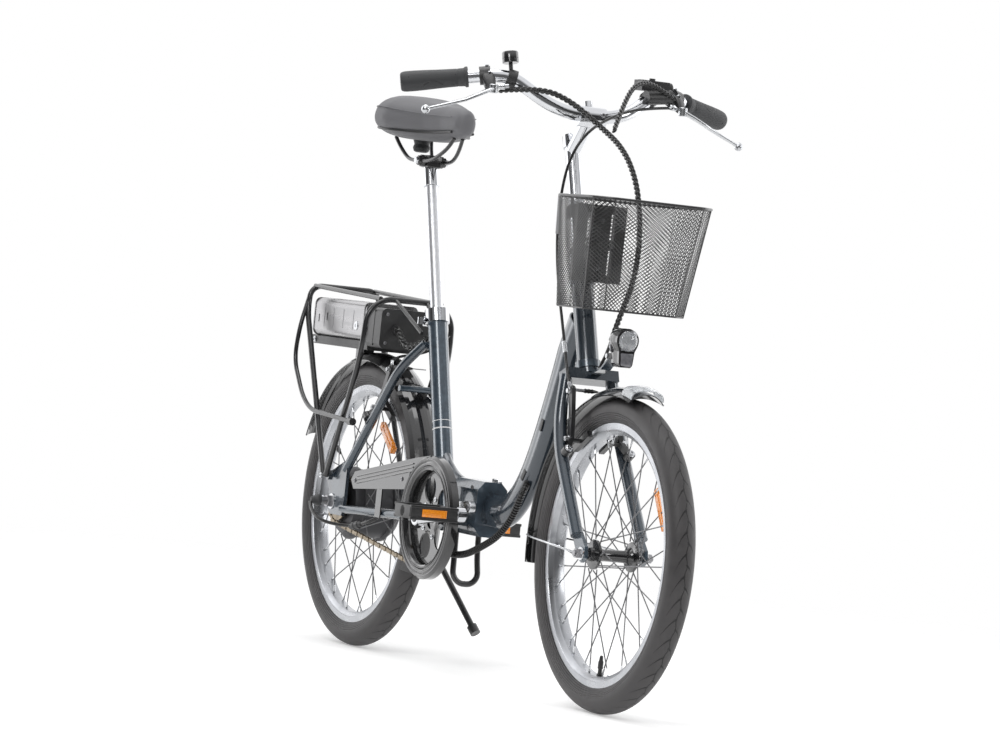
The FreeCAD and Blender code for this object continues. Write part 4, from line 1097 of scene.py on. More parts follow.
    def strung(self, name: str, stamp: bpy.types.Object, route: Sequence[Vector], step: float,
            finish: Finish, spin: float = 0.0, looped: bool = False) -> bpy.types.Object:
        """Copies of a small shape strung along a route.

        Args:
            name: The piece's name.
            stamp: The small shape round the origin, its length along Z, removed afterwards.
            route: The route's control points.
            step: Distance between copies in mm.
            finish: Their finish.
            spin: How far each copy is turned past the one before, in radians.
            looped: Whether the route closes on itself.

        Returns:
            The mesh object.
        """
        base = route_curve(name + "_route", route, looped=looped)
        made = self.grown(name, base, self.path_stamps(), finish, Stamp=stamp, Step=step * MM, Spin=spin)
        bpy.data.objects.remove(stamp)
        return made


TOOLS = Tools()
ORIGIN = Vector((0.0, 0.0, 0.0))


def hex_stamp(name: str, across: float, height: float, finish: Finish,
        dome: float = 0.6) -> bpy.types.Object:
    """A hexagon nut or bolt head round the origin, along Z.

    Args:
        name: The stamp's name.
        across: Corner radius in mm.
        height: Its height in mm.
        finish: Its finish.
        dome: How far the top is rounded in mm.

    Returns:
        The object.
    """
    profile = [(0.0, across), (height - dome, across), (height, across - dome), (height, 0.35 * across)]
    return turned_piece(name, ORIGIN, Vector((0, 0, 1)), profile, finish, sides=6, angle=math.radians(20))


def screw_stamp(name: str, radius: float, height: float, finish: Finish) -> bpy.types.Object:
    """A round socket screw head round the origin, along Z.

    Args:
        name: The stamp's name.
        radius: Its radius in mm.
        height: Its height in mm.
        finish: Its finish.

    Returns:
        The object.
    """
    profile = [(0.0, radius), (height * 0.7, radius), (height, radius * 0.82), (height, radius * 0.46),
        (height * 0.35, radius * 0.42)]
    return turned_piece(name, ORIGIN, Vector((0, 0, 1)), profile, finish, sides=12)


def on_stem(height: float) -> Vector:
    """The point of the riser's axis at a height.

    Args:
        height: Z in mm.

    Returns:
        The point in metres.
    """
    return mm(300, 0, 614) + STEER_WAY * ((height - 614) / STEER_WAY.z) * MM


def settle(obj: bpy.types.Object, body: str,
        stands_for: Sequence[str] = ()) -> bpy.types.Object:
    """Makes a finished piece ride on its body.

    Args:
        obj: The piece.
        body: The CAD body that it moves with.
        stands_for: CAD nodes that it replaces.

    Returns:
        The piece.
    """
    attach(obj, body)
    if stands_for:
        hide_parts(*stands_for)
    return obj


def repainted(node: str, body: str, default: Finish, rules: Sequence[tuple[Callable[[Vector, Vector],
        bool], Finish]]) -> bpy.types.Object:
    """A copy of a CAD node whose faces take several finishes, in place of the node.

    Args:
        node: The CAD node.
        body: Its body.
        default: The finish of faces that no rule names.
        rules: For each rule a test of a face's middle, in mm, and normal, and its finish.

    Returns:
        The copy.
    """
    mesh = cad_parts[node].data.copy()
    mesh.materials.clear()
    mesh.materials.append(default.material())
    tidy_mesh(mesh)
    for _test, finish in rules:
        mesh.materials.append(finish.material())
    for polygon in mesh.polygons:
        polygon.material_index = 0
        for number, (test, _finish) in enumerate(rules):
            if test(polygon.center / MM, polygon.normal):
                polygon.material_index = number + 1
                break
    made = link_object(node + "_dressed", mesh)
    return settle(made, body, stands_for=[node])


WHEEL_X, WHEEL_RADIUS = 485, 250
REAR_CENTRE = mm(-WHEEL_X, 0, WHEEL_RADIUS)
FRONT_CENTRE = mm(WHEEL_X, 0, WHEEL_RADIUS)
BRACKET = mm(-90, 0, 256)
SIDES = (-1, 1)
CRANK_WAY = Vector((math.cos(math.radians(6)), 0, math.sin(math.radians(6))))
CRANK_LENGTH = 0.166
STEER_WAY = Vector((-math.sin(math.radians(22)), 0, math.cos(math.radians(22))))
SEAT_TOP = mm(-272, 0, 599)
SEAT_DOWN = (mm(-148, 0, 251) - SEAT_TOP).normalized()
SOFT_ANGLE = math.radians(50)
FENDER_HALF = 33


def round_y(name: str, x: float, z: float, profile: Sequence[tuple[float, float]], finish: Finish,
        start: float, way: int = 1, sides: int = 40) -> bpy.types.Object:
    """A turned piece on a cross axis.

    Args:
        name: The piece's name.
        x: The axis's X in mm.
        z: The axis's Z in mm.
        profile: Distance from the start and radius, in mm.
        finish: Its finish.
        start: Y where the distance is 0, in mm.
        way: 1 to run towards +Y, -1 towards -Y.
        sides: Vertices round the axis.

    Returns:
        The object.
    """
    return turned_piece(name, mm(x, start, z), mm(x, start + way * 10, z), profile, finish, sides)


def stamp_on(name: str, stamp: bpy.types.Object, spots: Sequence[Vector], ways: Sequence[Point],
        finish: Finish, body: str) -> None:
    """Puts a stamp on several spots and makes the result ride on a body.

    Args:
        name: The piece's name.
        stamp: The small shape round the origin, removed afterwards.
        spots: Where each copy goes.
        ways: Where each copy points, or one direction for all.
        finish: Their finish.
        body: The body they move with.
    """
    turns = [basis_along(Vector(way)) for way in ways]
    turns *= len(spots) // len(turns)
    settle(TOOLS.stamped(name, stamp, spots, turns, finish), body)


class TyreTread:
    """The rubber material whose tread is drawn from the tyre's own map."""

    pitch: float = 0.034
    half_width: float = 0.0195
    name: str = "tyre_tread_rubber"

    def _calc(self, g: Graph, operation: str, first: object, second: object = 0.0) -> bpy.types.NodeSocket:
        """One sum on sockets or numbers.

        Args:
            g: The graph.
            operation: The math operation.
            first: A socket or number.
            second: A socket or number.

        Returns:
            The result's socket.
        """
        node = g.add("ShaderNodeMath", operation=operation)
        for number, value in enumerate((first, second)):
            if isinstance(value, bpy.types.NodeSocket):
                g.link(value, node.inputs[number])
            else:
                node.inputs[number].default_value = value
        return node.outputs["Value"]

    def group(self) -> bpy.types.NodeTree:
        """Shader group that gives the relief of curved sipes, a wavy centre groove and side ribs.

        Returns:
            The group, with Groove and Normal outputs.
        """
        tree = new_group("tread_relief", "ShaderNodeTree", [
            ("Vector", "IN", "NodeSocketVector", None),
            ("Pitch", "IN", "NodeSocketFloat", self.pitch),
            ("Half width", "IN", "NodeSocketFloat", self.half_width),
            ("Groove", "OUT", "NodeSocketFloat", None),
            ("Normal", "OUT", "NodeSocketVector", None),
        ])
        g = Graph(tree)
        calc = self._calc
        start, end = g.add("NodeGroupInput"), g.add("NodeGroupOutput")
        split = g.add("ShaderNodeSeparateXYZ")
        g.join(start, "Vector", split, "Vector")
        along, across = split.outputs["X"], split.outputs["Y"]
        steps = calc(g, "DIVIDE", along, start.outputs["Pitch"])
        reach = calc(g, "DIVIDE", calc(g, "ABSOLUTE", across), start.outputs["Half width"])
        offset = calc(g, "MULTIPLY", calc(g, "SIGN", across), 0.25)
        bow = calc(g, "MULTIPLY", calc(g, "POWER", reach, 1.7), 0.95)
        phase = calc(g, "FRACT", calc(g, "ADD", calc(g, "ADD", steps, offset), bow))
        near = calc(g, "ABSOLUTE", calc(g, "SUBTRACT", phase, 0.5))
        width = calc(g, "MULTIPLY", calc(g, "SUBTRACT", 1.12, reach), 0.075)
        sipe = g.add("ShaderNodeMapRange", {"To Min": 1.0, "To Max": 0.0})
        g.link(near, sipe.inputs["Value"])
        g.link(calc(g, "MULTIPLY", width, 0.6), sipe.inputs["From Min"])
        g.link(width, sipe.inputs["From Max"])
        inside = calc(g, "LESS_THAN", reach, 1.0)
        sipes = calc(g, "MULTIPLY", sipe.outputs["Result"], inside)
        wave = calc(g, "MULTIPLY", calc(g, "SINE", calc(g, "MULTIPLY", steps, 2 * math.pi)), 0.0016)
        centre = calc(g, "ABSOLUTE", calc(g, "SUBTRACT", across, wave))
        line = g.add("ShaderNodeMapRange", {
            "From Min": 0.0005, "From Max": 0.0009, "To Min": 1.0, "To Max": 0.0})
        g.link(centre, line.inputs["Value"])
        groove = calc(g, "MAXIMUM", sipes, line.outputs["Result"])
        ribs = calc(g, "SINE", calc(g, "MULTIPLY", calc(g, "ABSOLUTE", across), 2 * math.pi / 0.0034))
        beyond = calc(g, "GREATER_THAN", reach, 1.95)
        side_ribs = calc(g, "MULTIPLY", calc(g, "MULTIPLY", ribs, beyond), -0.25)
        height = calc(g, "SUBTRACT", calc(g, "SUBTRACT", 1.0, groove), side_ribs)
        bump = g.add("ShaderNodeBump", {"Strength": 1.0, "Distance": 0.0018})
        g.link(height, bump.inputs["Height"])
        g.link(groove, end.inputs["Groove"])
        g.join(bump, "Normal", end, "Normal")
        return tree

    def material(self) -> bpy.types.Material:
        """The tread rubber, with painted shade darkening its grooves, made once.

        Returns:
            The material.
        """
        found = bpy.data.materials.get(self.name)
        if found is not None:
            return found
        material = bpy.data.materials.new(self.name)
        material.use_nodes = True
        material.node_tree.nodes.clear()
        g = Graph(material.node_tree)
        out = g.add("ShaderNodeOutputMaterial")
        shader = g.add("ShaderNodeBsdfPrincipled", {"Specular IOR Level": 0.5})
        tread = g.add("ShaderNodeGroup", node_tree=self.group())
        chart = g.add("ShaderNodeUVMap", uv_map="tread")
        g.join(chart, "UV", tread, "Vector")
        place = g.add("ShaderNodeTexCoord")
        varied = g.add("ShaderNodeGroup", node_tree=shared_group("variation"))
        varied.inputs["Colour A"].default_value = (0.030, 0.028, 0.029, 1.0)
        varied.inputs["Colour B"].default_value = (0.046, 0.043, 0.044, 1.0)
        varied.inputs["Roughness A"].default_value = 0.46
        varied.inputs["Roughness B"].default_value = 0.62
        varied.inputs["Scale"].default_value = 40.0
        g.join(place, "Object", varied, "Vector")
        # Painted shade: the grooves, sipes and centre line are coloured near black where shade would fall
        # into them.
        painted_groove_shade = g.add("ShaderNodeMix", data_type="RGBA")
        painted_groove_shade.inputs[7].default_value = (0.004, 0.004, 0.004, 1.0)
        g.join(tread, "Groove", painted_groove_shade, "Factor")
        g.join(varied, "Colour", painted_groove_shade, 6)
        g.join(painted_groove_shade, 2, shader, "Base Color")
        g.join(varied, "Roughness", shader, "Roughness")
        g.join(tread, "Normal", shader, "Normal")
        g.join(shader, "BSDF", out, "Surface")
        return material


@dataclass
class Wheel:
    """Tyre, rim, nipples, valve and reflector of one wheel."""

    name: str
    centre: Vector
    reflector_angle: float
    reflector_side: float
    valve_angle: float
    tyre_major: float = 226.5
    tyre_minor: float = 23.5
    tyre_foot: float = 136.0
    rim_inner: float = 190.0
    spokes_per_side: int = 18
    nipple_side: float = 3.0
    flange_radius: float = 24.0
    flange_side: float = 33.0
    steps: int = 180

    def body(self) -> str:
        """The CAD body's name.

        Returns:
            The name.
        """
        return f"{self.name}_wheel"

    def build(self) -> None:
        """Builds all the wheel's pieces."""
        self.tyre()
        self.rim()
        self.nipples()
        self.valve()
        self.reflector()

    def tyre(self) -> None:
        """Builds the tyre with its tread map."""
        profile = []
        count = 44
        for step in range(count + 1):
            angle = math.radians(-self.tyre_foot + 2 * self.tyre_foot * step / count)
            bead = 0.35 * math.exp(-((abs(math.degrees(angle)) - 112) / 2.2) ** 2)
            minor = self.tyre_minor - 0.35 + bead
            profile.append((self.tyre_major + minor * math.cos(angle), minor * math.sin(angle)))
        profile += [(208.0, 13.0), (208.0, -13.0)]
        made = wheel_piece(f"{self.name}_tyre_tread", self.centre, profile, TYRE_RUBBER, self.steps)
        made.data.materials[0] = TyreTread().material()
        self._map_tread(made.data)
        settle(made, self.body(), [f"{self.name}_tyre"])

    def _map_tread(self, mesh: bpy.types.Mesh) -> None:
        """Adds the map from distance round the tyre and across its tread.

        Args:
            mesh: The tyre's mesh.
        """
        chart = mesh.uv_layers.new(name="tread")
        around = 2 * math.pi * WHEEL_RADIUS * MM
        whole = round(around / TyreTread.pitch) * TyreTread.pitch
        for polygon in mesh.polygons:
            turns = []
            for loop in polygon.loop_indices:
                spot = mesh.vertices[mesh.loops[loop].vertex_index].co - self.centre
                turns.append(math.atan2(spot.z, spot.x) / (2 * math.pi) % 1.0)
            wraps = max(turns) - min(turns) > 0.5
            for loop, turn in zip(polygon.loop_indices, turns):
                spot = mesh.vertices[mesh.loops[loop].vertex_index].co - self.centre
                outward = math.hypot(spot.x, spot.z) - self.tyre_major * MM
                across = math.atan2(spot.y, outward) * self.tyre_minor * MM
                shift = 1.0 if wraps and turn < 0.5 else 0.0
                chart.data[loop].uv = ((turn + shift) * whole, across)

    def rim(self) -> None:
        """Builds the rim with its rounded shoulders and brake tracks."""
        half = [(209, 14.9), (209, 12.8), (205, 12.4), (203.6, 10.6), (200.4, 9), (200.2, 0)]
        inner = [(190.1, 0), (190.2, 5), (190.8, 8.6), (193.6, 11.4), (197.2, 13.4), (198.4, 14.2),
            (198.9, 14.2), (199.3, 14.9)]
        top = half + [(r, -y) for r, y in reversed(half[:-1])]
        low = [(r, -y) for r, y in reversed(inner)] + inner[1:]
        made = wheel_piece(f"{self.name}_rim_section", self.centre, top + low, RIM_ALLOY, self.steps)
        settle(made, self.body(), [f"{self.name}_rim"])

    def nipples(self) -> None:
        """Puts a nipple at the rim end of every spoke."""
        places, turns = [], []
        step = 2 * math.pi / self.spokes_per_side
        for side in SIDES:
            for number in range(self.spokes_per_side):
                angle = number * step + (side + 1) * step / 4
                hub_angle = angle + math.radians(38 if number % 2 else -38)
                rim = Vector((math.cos(angle) * self.rim_inner, side * self.nipple_side,
                    math.sin(angle) * self.rim_inner)) * MM
                hub = Vector((math.cos(hub_angle) * self.flange_radius, side * self.flange_side,
                    math.sin(hub_angle) * self.flange_radius)) * MM
                places.append(self.centre + rim)
                turns.append(basis_along(hub - rim))
        stamp = turned_piece("nipple_stamp", ORIGIN, Vector((0, 0, 1)),
            [(-0.5, 2.1), (3.0, 2.1), (4.0, 1.7), (12.0, 1.5), (12.6, 1.1)], ALLOY, sides=8)
        settle(TOOLS.stamped(f"{self.name}_nipples", stamp, places, turns, ALLOY), self.body())

    def valve(self) -> None:
        """Adds the valve stem with its cap."""
        inward = -Vector((math.cos(self.valve_angle), 0, math.sin(self.valve_angle)))
        foot = self.centre - inward * self.rim_inner * MM
        stem = turned_piece("stem_part", foot, foot + inward, [(-0.5, 5.2), (2, 5.0), (3, 3.4), (12, 3.3)],
            CABLE_SKIN, 20)
        cap = turned_piece("cap_part", foot, foot + inward, [(11, 3.9), (12, 4.3), (22, 4.2), (24, 3.4),
            (31, 2.6), (32, 1.4)], PLASTIC, 20)
        made = join_pieces(f"{self.name}_valve", [stem, cap])
        settle(made, self.body())

    def reflector(self) -> None:
        """Clips an amber reflector between the spokes."""
        angle = math.radians(self.reflector_angle)
        outward = Vector((math.cos(angle), 0, math.sin(angle)))
        tangent = Vector((-math.sin(angle), 0, math.cos(angle)))
        middle = self.centre + outward * 0.152 + mm(0, self.reflector_side, 0)
        turn = Matrix((tangent, Vector((0, 1, 0)), tangent.cross(Vector((0, 1, 0))))).transposed()
        plate = block_piece("plate_part", middle - mm(32, 3, 10.5), middle + mm(32, 3, 10.5), AMBER, 2.6,
            turn)
        rib = block_piece("rib_part", middle - mm(27, 4.2, 2.2), middle + mm(27, 4.2, 2.2), AMBER, 1.0,
            turn)
        clips = []
        for end in (-1, 1):
            spot = middle + tangent * end * 0.031
            clips.append(block_piece("clip_part", spot - mm(5, 4.6, 6.5), spot + mm(5, 4.6, 6.5), AMBER,
                1.2, turn))
        made = join_pieces(f"{self.name}_reflector", [plate, rib, *clips])
        settle(made, self.body())


def polygon_at(height: float, grow: float = 0.0) -> list[Vector]:
    """Corners of the basket's plan outline at a height, in mm.

    Args:
        height: Z in mm.
        grow: How far outside the wall's outer face.

    Returns:
        The corners, round from the right of the back.
    """
    share = (height - Basket.floor_z) / (Basket.rim_z - Basket.floor_z)
    back, front = 327 - grow, 492 + 30 * share + grow
    narrow, wide = 46 + 14 * share + 0.6 * grow, 90 + 15 * share + grow
    half = [(back, narrow), (372 - 0.4 * grow, wide), (front - 24, wide), (front, wide - 26)]
    corners = [Vector((x, -y, height)) for x, y in half]
    return corners + [Vector((x, y, height)) for x, y in reversed(half)]


@dataclass
class Basket:
    """Expanded-mesh basket with wire edges and its bracket plate."""

    floor_z: float = 632.0
    rim_z: float = 808.0
    columns: int = 84
    rows: int = 56
    strand: float = 0.6
    wall: float = 1.0

    def around(self, share: float, height: float) -> Vector:
        """A point of the wall.

        Args:
            share: Share of the way round, from 0 to 1, even along the rim's outline.
            height: Z in mm.

        Returns:
            The point in metres.
        """
        guide = polygon_at(self.rim_z, -self.wall)
        corners = polygon_at(height, -self.wall)
        lengths = [(guide[(i + 1) % 8] - guide[i]).length for i in range(8)]
        target = (share % 1.0) * sum(lengths)
        for number, length in enumerate(lengths):
            if target <= length:
                step = target / length
                return corners[number].lerp(corners[(number + 1) % 8], step) * MM
            target -= length
        return corners[0] * MM

    def build(self) -> None:
        """Builds the mesh, wires and bracket."""
        self.walls()
        self.floor()
        self.wires()
        self.bracket()

    def _strands(self, name: str, lines: Sequence[Sequence[Vector]]) -> bpy.types.Object:
        """Turns lines of points into flat mesh strands.

        Args:
            name: The piece's name.
            lines: The lines of points.

        Returns:
            The mesh object.
        """
        points, edges = [], []
        for line in lines:
            first = len(points)
            points += [tuple(point) for point in line]
            edges += [(first + i, first + i + 1) for i in range(len(line) - 1)]
        mesh = bpy.data.meshes.new(name + "_edges")
        mesh.from_pydata(points, edges, [])
        base = link_object(name + "_edges", mesh)
        return TOOLS.grown(name, base, TOOLS.edge_tubes(), SATIN_BLACK, Radius=self.strand * MM, Sides=4)

    def walls(self) -> None:
        """Weaves the diamond mesh of the walls."""
        lines = []
        low, high = self.floor_z + 1.0, self.rim_z - 2.0
        for way in (-1, 1):
            for column in range(self.columns):
                line = []
                for row in range(self.rows + 1):
                    share = (column + way * row * 0.5) / self.columns
                    height = low + (high - low) * row / self.rows
                    line.append(self.around(share, height))
                lines.append(line)
        settle(self._strands("basket_mesh", lines), "steering", ["basket"])

    def floor(self) -> None:
        """Weaves the diamond mesh of the floor."""
        corners = polygon_at(self.floor_z + 1.0, -self.wall)
        lines = []
        pitch = 6.8
        for slope in (-1, 1):
            along = Vector((math.cos(0.68), slope * math.sin(0.68), 0))
            across = Vector((-along.y, along.x, 0))
            spread = [corner.dot(across) for corner in corners]
            offset = math.floor(min(spread) / pitch) * pitch
            while offset < max(spread):
                offset += pitch
                hits = []
                for number in range(8):
                    a, b = corners[number], corners[(number + 1) % 8]
                    da, db = a.dot(across) - offset, b.dot(across) - offset
                    if da * db < 0:
                        hits.append(a.lerp(b, da / (da - db)))
                if len(hits) == 2:
                    lines.append([hits[0] * MM, hits[1] * MM])
        settle(self._strands("basket_floor_mesh", lines), "steering")

    def wires(self) -> None:
        """Adds the rim wire and the bottom edge wire."""
        for name, height, radius, grow in (
            ("basket_rim_wire", self.rim_z, 2.3, 0.2), ("basket_floor_wire", self.floor_z + 1.6, 1.5, -1.5)
        ):
            corners = polygon_at(height, grow)
            points = []
            for number in range(8):
                a, b = corners[number], corners[(number + 1) % 8]
                points += [a.lerp(b, 0.06) * MM, a.lerp(b, 0.5) * MM, a.lerp(b, 0.94) * MM]
            settle(route_tube(name, points, radius, SATIN_BLACK, looped=True), "steering")
        seams = []
        for number in range(8):
            low, high = polygon_at(self.floor_z + 1, -1)[number], polygon_at(self.rim_z, -1)[number]
            if number in (2, 3, 4, 5):
                seams.append((low * MM, high * MM))
        made = TOOLS.bars("basket_corner_wires", seams, 1.0, SATIN_BLACK, 6)
        settle(made, "steering")

    def bracket(self) -> None:
        """Builds the slotted bracket plate with its arms, clamps and bolts."""
        mesh = bpy.data.meshes.new("basket_bracket_plate")
        work = bmesh.new()
        sides = (-44, -25, -17, 17, 25, 44)
        heights = (676, 688, 728, 746, 788, 800)
        grid = [[work.verts.new(mm(316, y, z)) for z in heights] for y in sides]
        for i in range(5):
            for j in range(5):
                if i in (1, 3) and j in (1, 3):
                    continue
                work.faces.new((grid[i][j], grid[i + 1][j], grid[i + 1][j + 1], grid[i][j + 1]))
        lifted = bmesh.ops.extrude_face_region(work, geom=list(work.faces))
        moved = [item for item in lifted["geom"] if isinstance(item, bmesh.types.BMVert)]
        bmesh.ops.translate(work, verts=moved, vec=mm(7.5, 0, 0))
        work.to_mesh(mesh)
        work.free()
        mesh.materials.append(PLASTIC.material())
        tidy_mesh(mesh)
        parts = [link_object("basket_bracket_plate", mesh)]
        for z in (718, 786):
            middle = on_stem(z)
            parts.append(turned_piece("ring_part", middle - STEER_WAY * 9 * MM,
                middle + STEER_WAY * 9 * MM, [(0, 12.7), (0, 16.2), (0.8, 17), (17.2, 17), (18, 16.2),
                (18, 12.7)], PLASTIC, 32))
            parts.append(block_piece("arm_part", Vector((middle.x + 0.010, -0.011, (z - 8) * MM)),
                mm(318, 11, z + 8), PLASTIC, 1.0))
        made = join_pieces("basket_bracket_body", parts)
        settle(made, "steering", ["basket_bracket"])
        spots = [mm(323, y, z) for y, z in ((-21, 737), (21, 737), (0, 700), (0, 775))]
        stamp_on("basket_bolts", screw_stamp("bolt_stamp", 5.0, 3.5, ALLOY), spots, [(1, 0, 0)], ALLOY,
            "steering")


@dataclass
class Saddle:
    """Padded saddle with its shell, rails, clamp and post."""

    sections: tuple[tuple[float, float, float, float, float], ...] = (
        (-461, 34, 912, 941, 0.8), (-454, 60, 903, 955, 0.78), (-440, 80, 897, 964, 0.74),
        (-418, 91, 894, 968, 0.7), (-385, 89, 893, 965, 0.7), (-352, 68, 893, 959, 0.75),
        (-320, 44, 894, 954, 0.8), (-280, 28.5, 897, 951, 0.85), (-245, 22.5, 900, 949, 0.87),
        (-230, 17.5, 904, 946, 0.88), (-223, 10, 911, 940, 0.9),
    )
    around: int = 32
    voxel: float = 0.005
    pressure: float = 4.0
    frames: int = 20
    most: float = 0.004

    def ring(self, section: tuple[float, float, float, float, float], inset: float) -> list[Vector]:
        """The points of one cross-section.

        Args:
            section: X, half width, low, high and roundness.
            inset: How far inside the full shape, in mm.

        Returns:
            The points in metres.
        """
        x, half, low, high, power = section
        half, low, high = max(half - inset, 4), low + inset, high - inset
        tall = high - low
        points = []
        for step in range(self.around):
            angle = 2 * math.pi * step / self.around
            c, s = math.cos(angle), math.sin(angle)
            y = half * math.copysign(abs(c) ** power, c)
            share = 0.55 if s > 0 else 0.45
            z = low + tall * 0.45 + tall * share * math.copysign(abs(s) ** 0.9, s)
            points.append(mm(x, y, z))
        return points

    def build(self) -> None:
        """Builds the saddle and what carries it."""
        self.cover()
        self.trim()
        self.post()

    def cover(self) -> None:
        """Builds the padded cover and lets it swell a little."""
        vertices = [point for section in self.sections for point in self.ring(section, -1.0)]
        made = make_piece("saddle_cover", vertices, ring_faces(len(self.sections), self.around),
            LEATHERETTE, math.pi)
        remesh = made.modifiers.new("voxels", "REMESH")
        remesh.mode, remesh.voxel_size = "VOXEL", self.voxel
        made = baked("saddle_cover", made)
        made.data.materials.clear()
        made.data.materials.append(LEATHERETTE.material())
        self._swell(made)
        work = bmesh.new()
        work.from_mesh(made.data)
        for _round in range(3):
            bmesh.ops.smooth_vert(work, verts=work.verts, factor=0.5, use_axis_x=True, use_axis_y=True,
                use_axis_z=True)
        work.to_mesh(made.data)
        work.free()
        finer = made.modifiers.new("finer", "SUBSURF")
        finer.levels = finer.render_levels = 1
        made = baked("saddle_cover", made)
        made.data.shade_smooth()
        settle(made, "saddle_unit", ["saddle"])

    def _swell(self, made: bpy.types.Object) -> None:
        """Runs a short cloth simulation with air pressure and caps its movement.

        Args:
            made: The saddle cover.
        """
        rest = [vertex.co.copy() for vertex in made.data.vertices]
        cloth = made.modifiers.new("air", "CLOTH")
        cloth.settings.use_pressure = True
        cloth.settings.uniform_pressure_force = self.pressure
        cloth.settings.effector_weights.gravity = 0.0
        cloth.settings.quality = 5
        cloth.point_cache.frame_start, cloth.point_cache.frame_end = 1, self.frames
        scene = bpy.context.scene
        for number in range(1, self.frames + 1):
            scene.frame_set(number)
        evaluated = made.evaluated_get(bpy.context.evaluated_depsgraph_get())
        moved = [vertex.co.copy() for vertex in evaluated.data.vertices]
        made.modifiers.remove(cloth)
        scene.frame_set(1)
        for vertex, start, end in zip(made.data.vertices, rest, moved):
            shift = end - start
            if shift.length > self.most:
                shift = shift.normalized() * self.most
            shift.z = max(min(shift.z, 0.0015), -0.0005)
            vertex.co = start + shift * 0.45

    def trim(self) -> None:
        """Adds the edge trim and the seam piping along each side."""
        for side in SIDES:
            low, seam = [], []
            for section in self.sections[2:-2]:
                ring = self.ring(section, -1.2)
                number = (self.around * 3 // 4 + 5) if side > 0 else (self.around * 3 // 4 - 5)
                low.append(ring[number])
            label = "left" if side > 0 else "right"
            made = route_tube(f"saddle_trim_{label}", low, 2.4, PLASTIC)
            settle(made, "saddle_unit")
            for section in self.sections[2:-2]:
                ring = self.ring(section, -2.2)
                seam.append(ring[2 if side > 0 else self.around // 2 - 2])
            made = route_tube(f"saddle_seam_{label}", seam, 0.8, LEATHERETTE)
            settle(made, "saddle_unit")

    def post(self) -> None:
        """Builds the post, its sleeve, the clamp, the rails and the bumper."""
        tip, foot = SEAT_TOP - SEAT_DOWN * 0.262, SEAT_TOP + SEAT_DOWN * 0.2
        length = (tip - foot).length / MM
        bare = turned_piece("seat_post_tube", foot, tip, [(0, 11.4), (length - 30, 11.4)], POST_ALLOY, 48)
        settle(bare, "saddle_unit", ["seat_post"])
        sleeve = turned_piece("seat_post_sleeve", tip + SEAT_DOWN * 0.034, tip,
            [(0, 11.4), (0, 13.1), (0.6, 13.5), (33, 13.5), (34, 12.6), (34, 4)], CHROME, 48)
        settle(sleeve, "saddle_unit")
        parts = [block_piece("clamp_part", mm(-376, -13, 846), mm(-344, 13, 867.5), SATIN_BLACK, 2.5)]
        for side in SIDES:
            for y, radius in ((20, 10.4), (25, 8.5)):
                parts.append(round_y("jaw_part", -360, 857, [(0, radius - 1), (0.8, radius), (5.4, radius),
                    (6.2, radius - 1)], SATIN_BLACK, side * (y - 5), side, 24))
        made = join_pieces("saddle_clamp", parts)
        settle(made, "saddle_unit")
        nuts = [mm(-360, side * 26.0, 857) for side in SIDES]
        stamp_on("saddle_nuts", hex_stamp("nut_stamp", 6.2, 5, ALLOY), nuts,
            [(0, side, 0) for side in SIDES], ALLOY, "saddle_unit")
        for side in SIDES:
            points = mm_points([(-444, side * 34, 896), (-436, side * 31, 884), (-412, side * 24, 862),
                (-393, side * 21.5, 857), (-360, side * 20.5, 857), (-325, side * 20, 857),
                (-296, side * 16, 866), (-268, side * 10, 884), (-258, side * 8, 898)])
            label = "left" if side > 0 else "right"
            settle(route_tube(f"saddle_rail_{label}", points, 3.4, SATIN_BLACK), "saddle_unit")
        bumper = turned_piece("saddle_bumper", mm(-408, 0, 872), mm(-408, 0, 900),
            [(0, 9), (2, 13), (8, 15), (14, 13), (20, 15), (26, 14), (30, 10)], GRIP_RUBBER, 28)
        settle(bumper, "saddle_unit")


def swept_piece(name: str, points: Sequence[Vector], sizes: Sequence[tuple[float, float]], across: Vector,
        finish: Finish, sides: int = 20, power: float = 0.8) -> bpy.types.Object:
    """A bar with a rounded section that changes along its points.

    Args:
        name: The piece's name.
        points: The middle of each section in metres.
        sizes: Half width along the across direction and half depth of each section, in mm.
        across: The direction of the width.
        finish: Its finish.
        sides: Vertices round each section.
        power: Roundness, 1 for an ellipse and less for a squarer section.

    Returns:
        The object.
    """
    vertices = []
    last = len(points) - 1
    for number, (point, (wide, deep)) in enumerate(zip(points, sizes)):
        along = (points[min(number + 1, last)] - points[max(number - 1, 0)]).normalized()
        side = (across - along * across.dot(along)).normalized()
        up = along.cross(side)
        for step in range(sides):
            angle = 2 * math.pi * step / sides
            c, s = math.cos(angle), math.sin(angle)
            a = wide * math.copysign(abs(c) ** power, c)
            b = deep * math.copysign(abs(s) ** power, s)
            vertices.append(point + (side * a + up * b) * MM)
    return make_piece(name, vertices, ring_faces(len(points), sides), finish, SOFT_ANGLE)


def ball_part(name: str, centre: Vector, radius: float, finish: Finish) -> bpy.types.Object:
    """A ball.

    Args:
        name: The piece's name.
        centre: Its middle.
        radius: Its radius in mm.
        finish: Its finish.

    Returns:
        The object.
    """
    profile = [(radius - radius * math.cos(math.pi * i / 12), max(radius * math.sin(math.pi * i / 12),
        0.05)) for i in range(13)]
    return turned_piece(name, centre - mm(0, 0, radius), centre + mm(0, 0, radius), profile, finish, 24,
        math.pi)


GRIP_LINE = (mm(200, 162, 991), mm(137, 292, 965))


def mirrored_point(point: Vector, side: int) -> Vector:
    """A point of the left half, or its mirror on the right.

    Args:
        point: The left point.
        side: 1 for left, -1 for right.

    Returns:
        The point.
    """
    return Vector((point.x, point.y * side, point.z))


def on_grip(y: float) -> Vector:
    """The point of the left bar end at a distance from the middle plane.

    Args:
        y: The distance in mm.

    Returns:
        The point in metres.
    """
    start, end = GRIP_LINE
    return start.lerp(end, (y * MM - start.y) / (end.y - start.y))


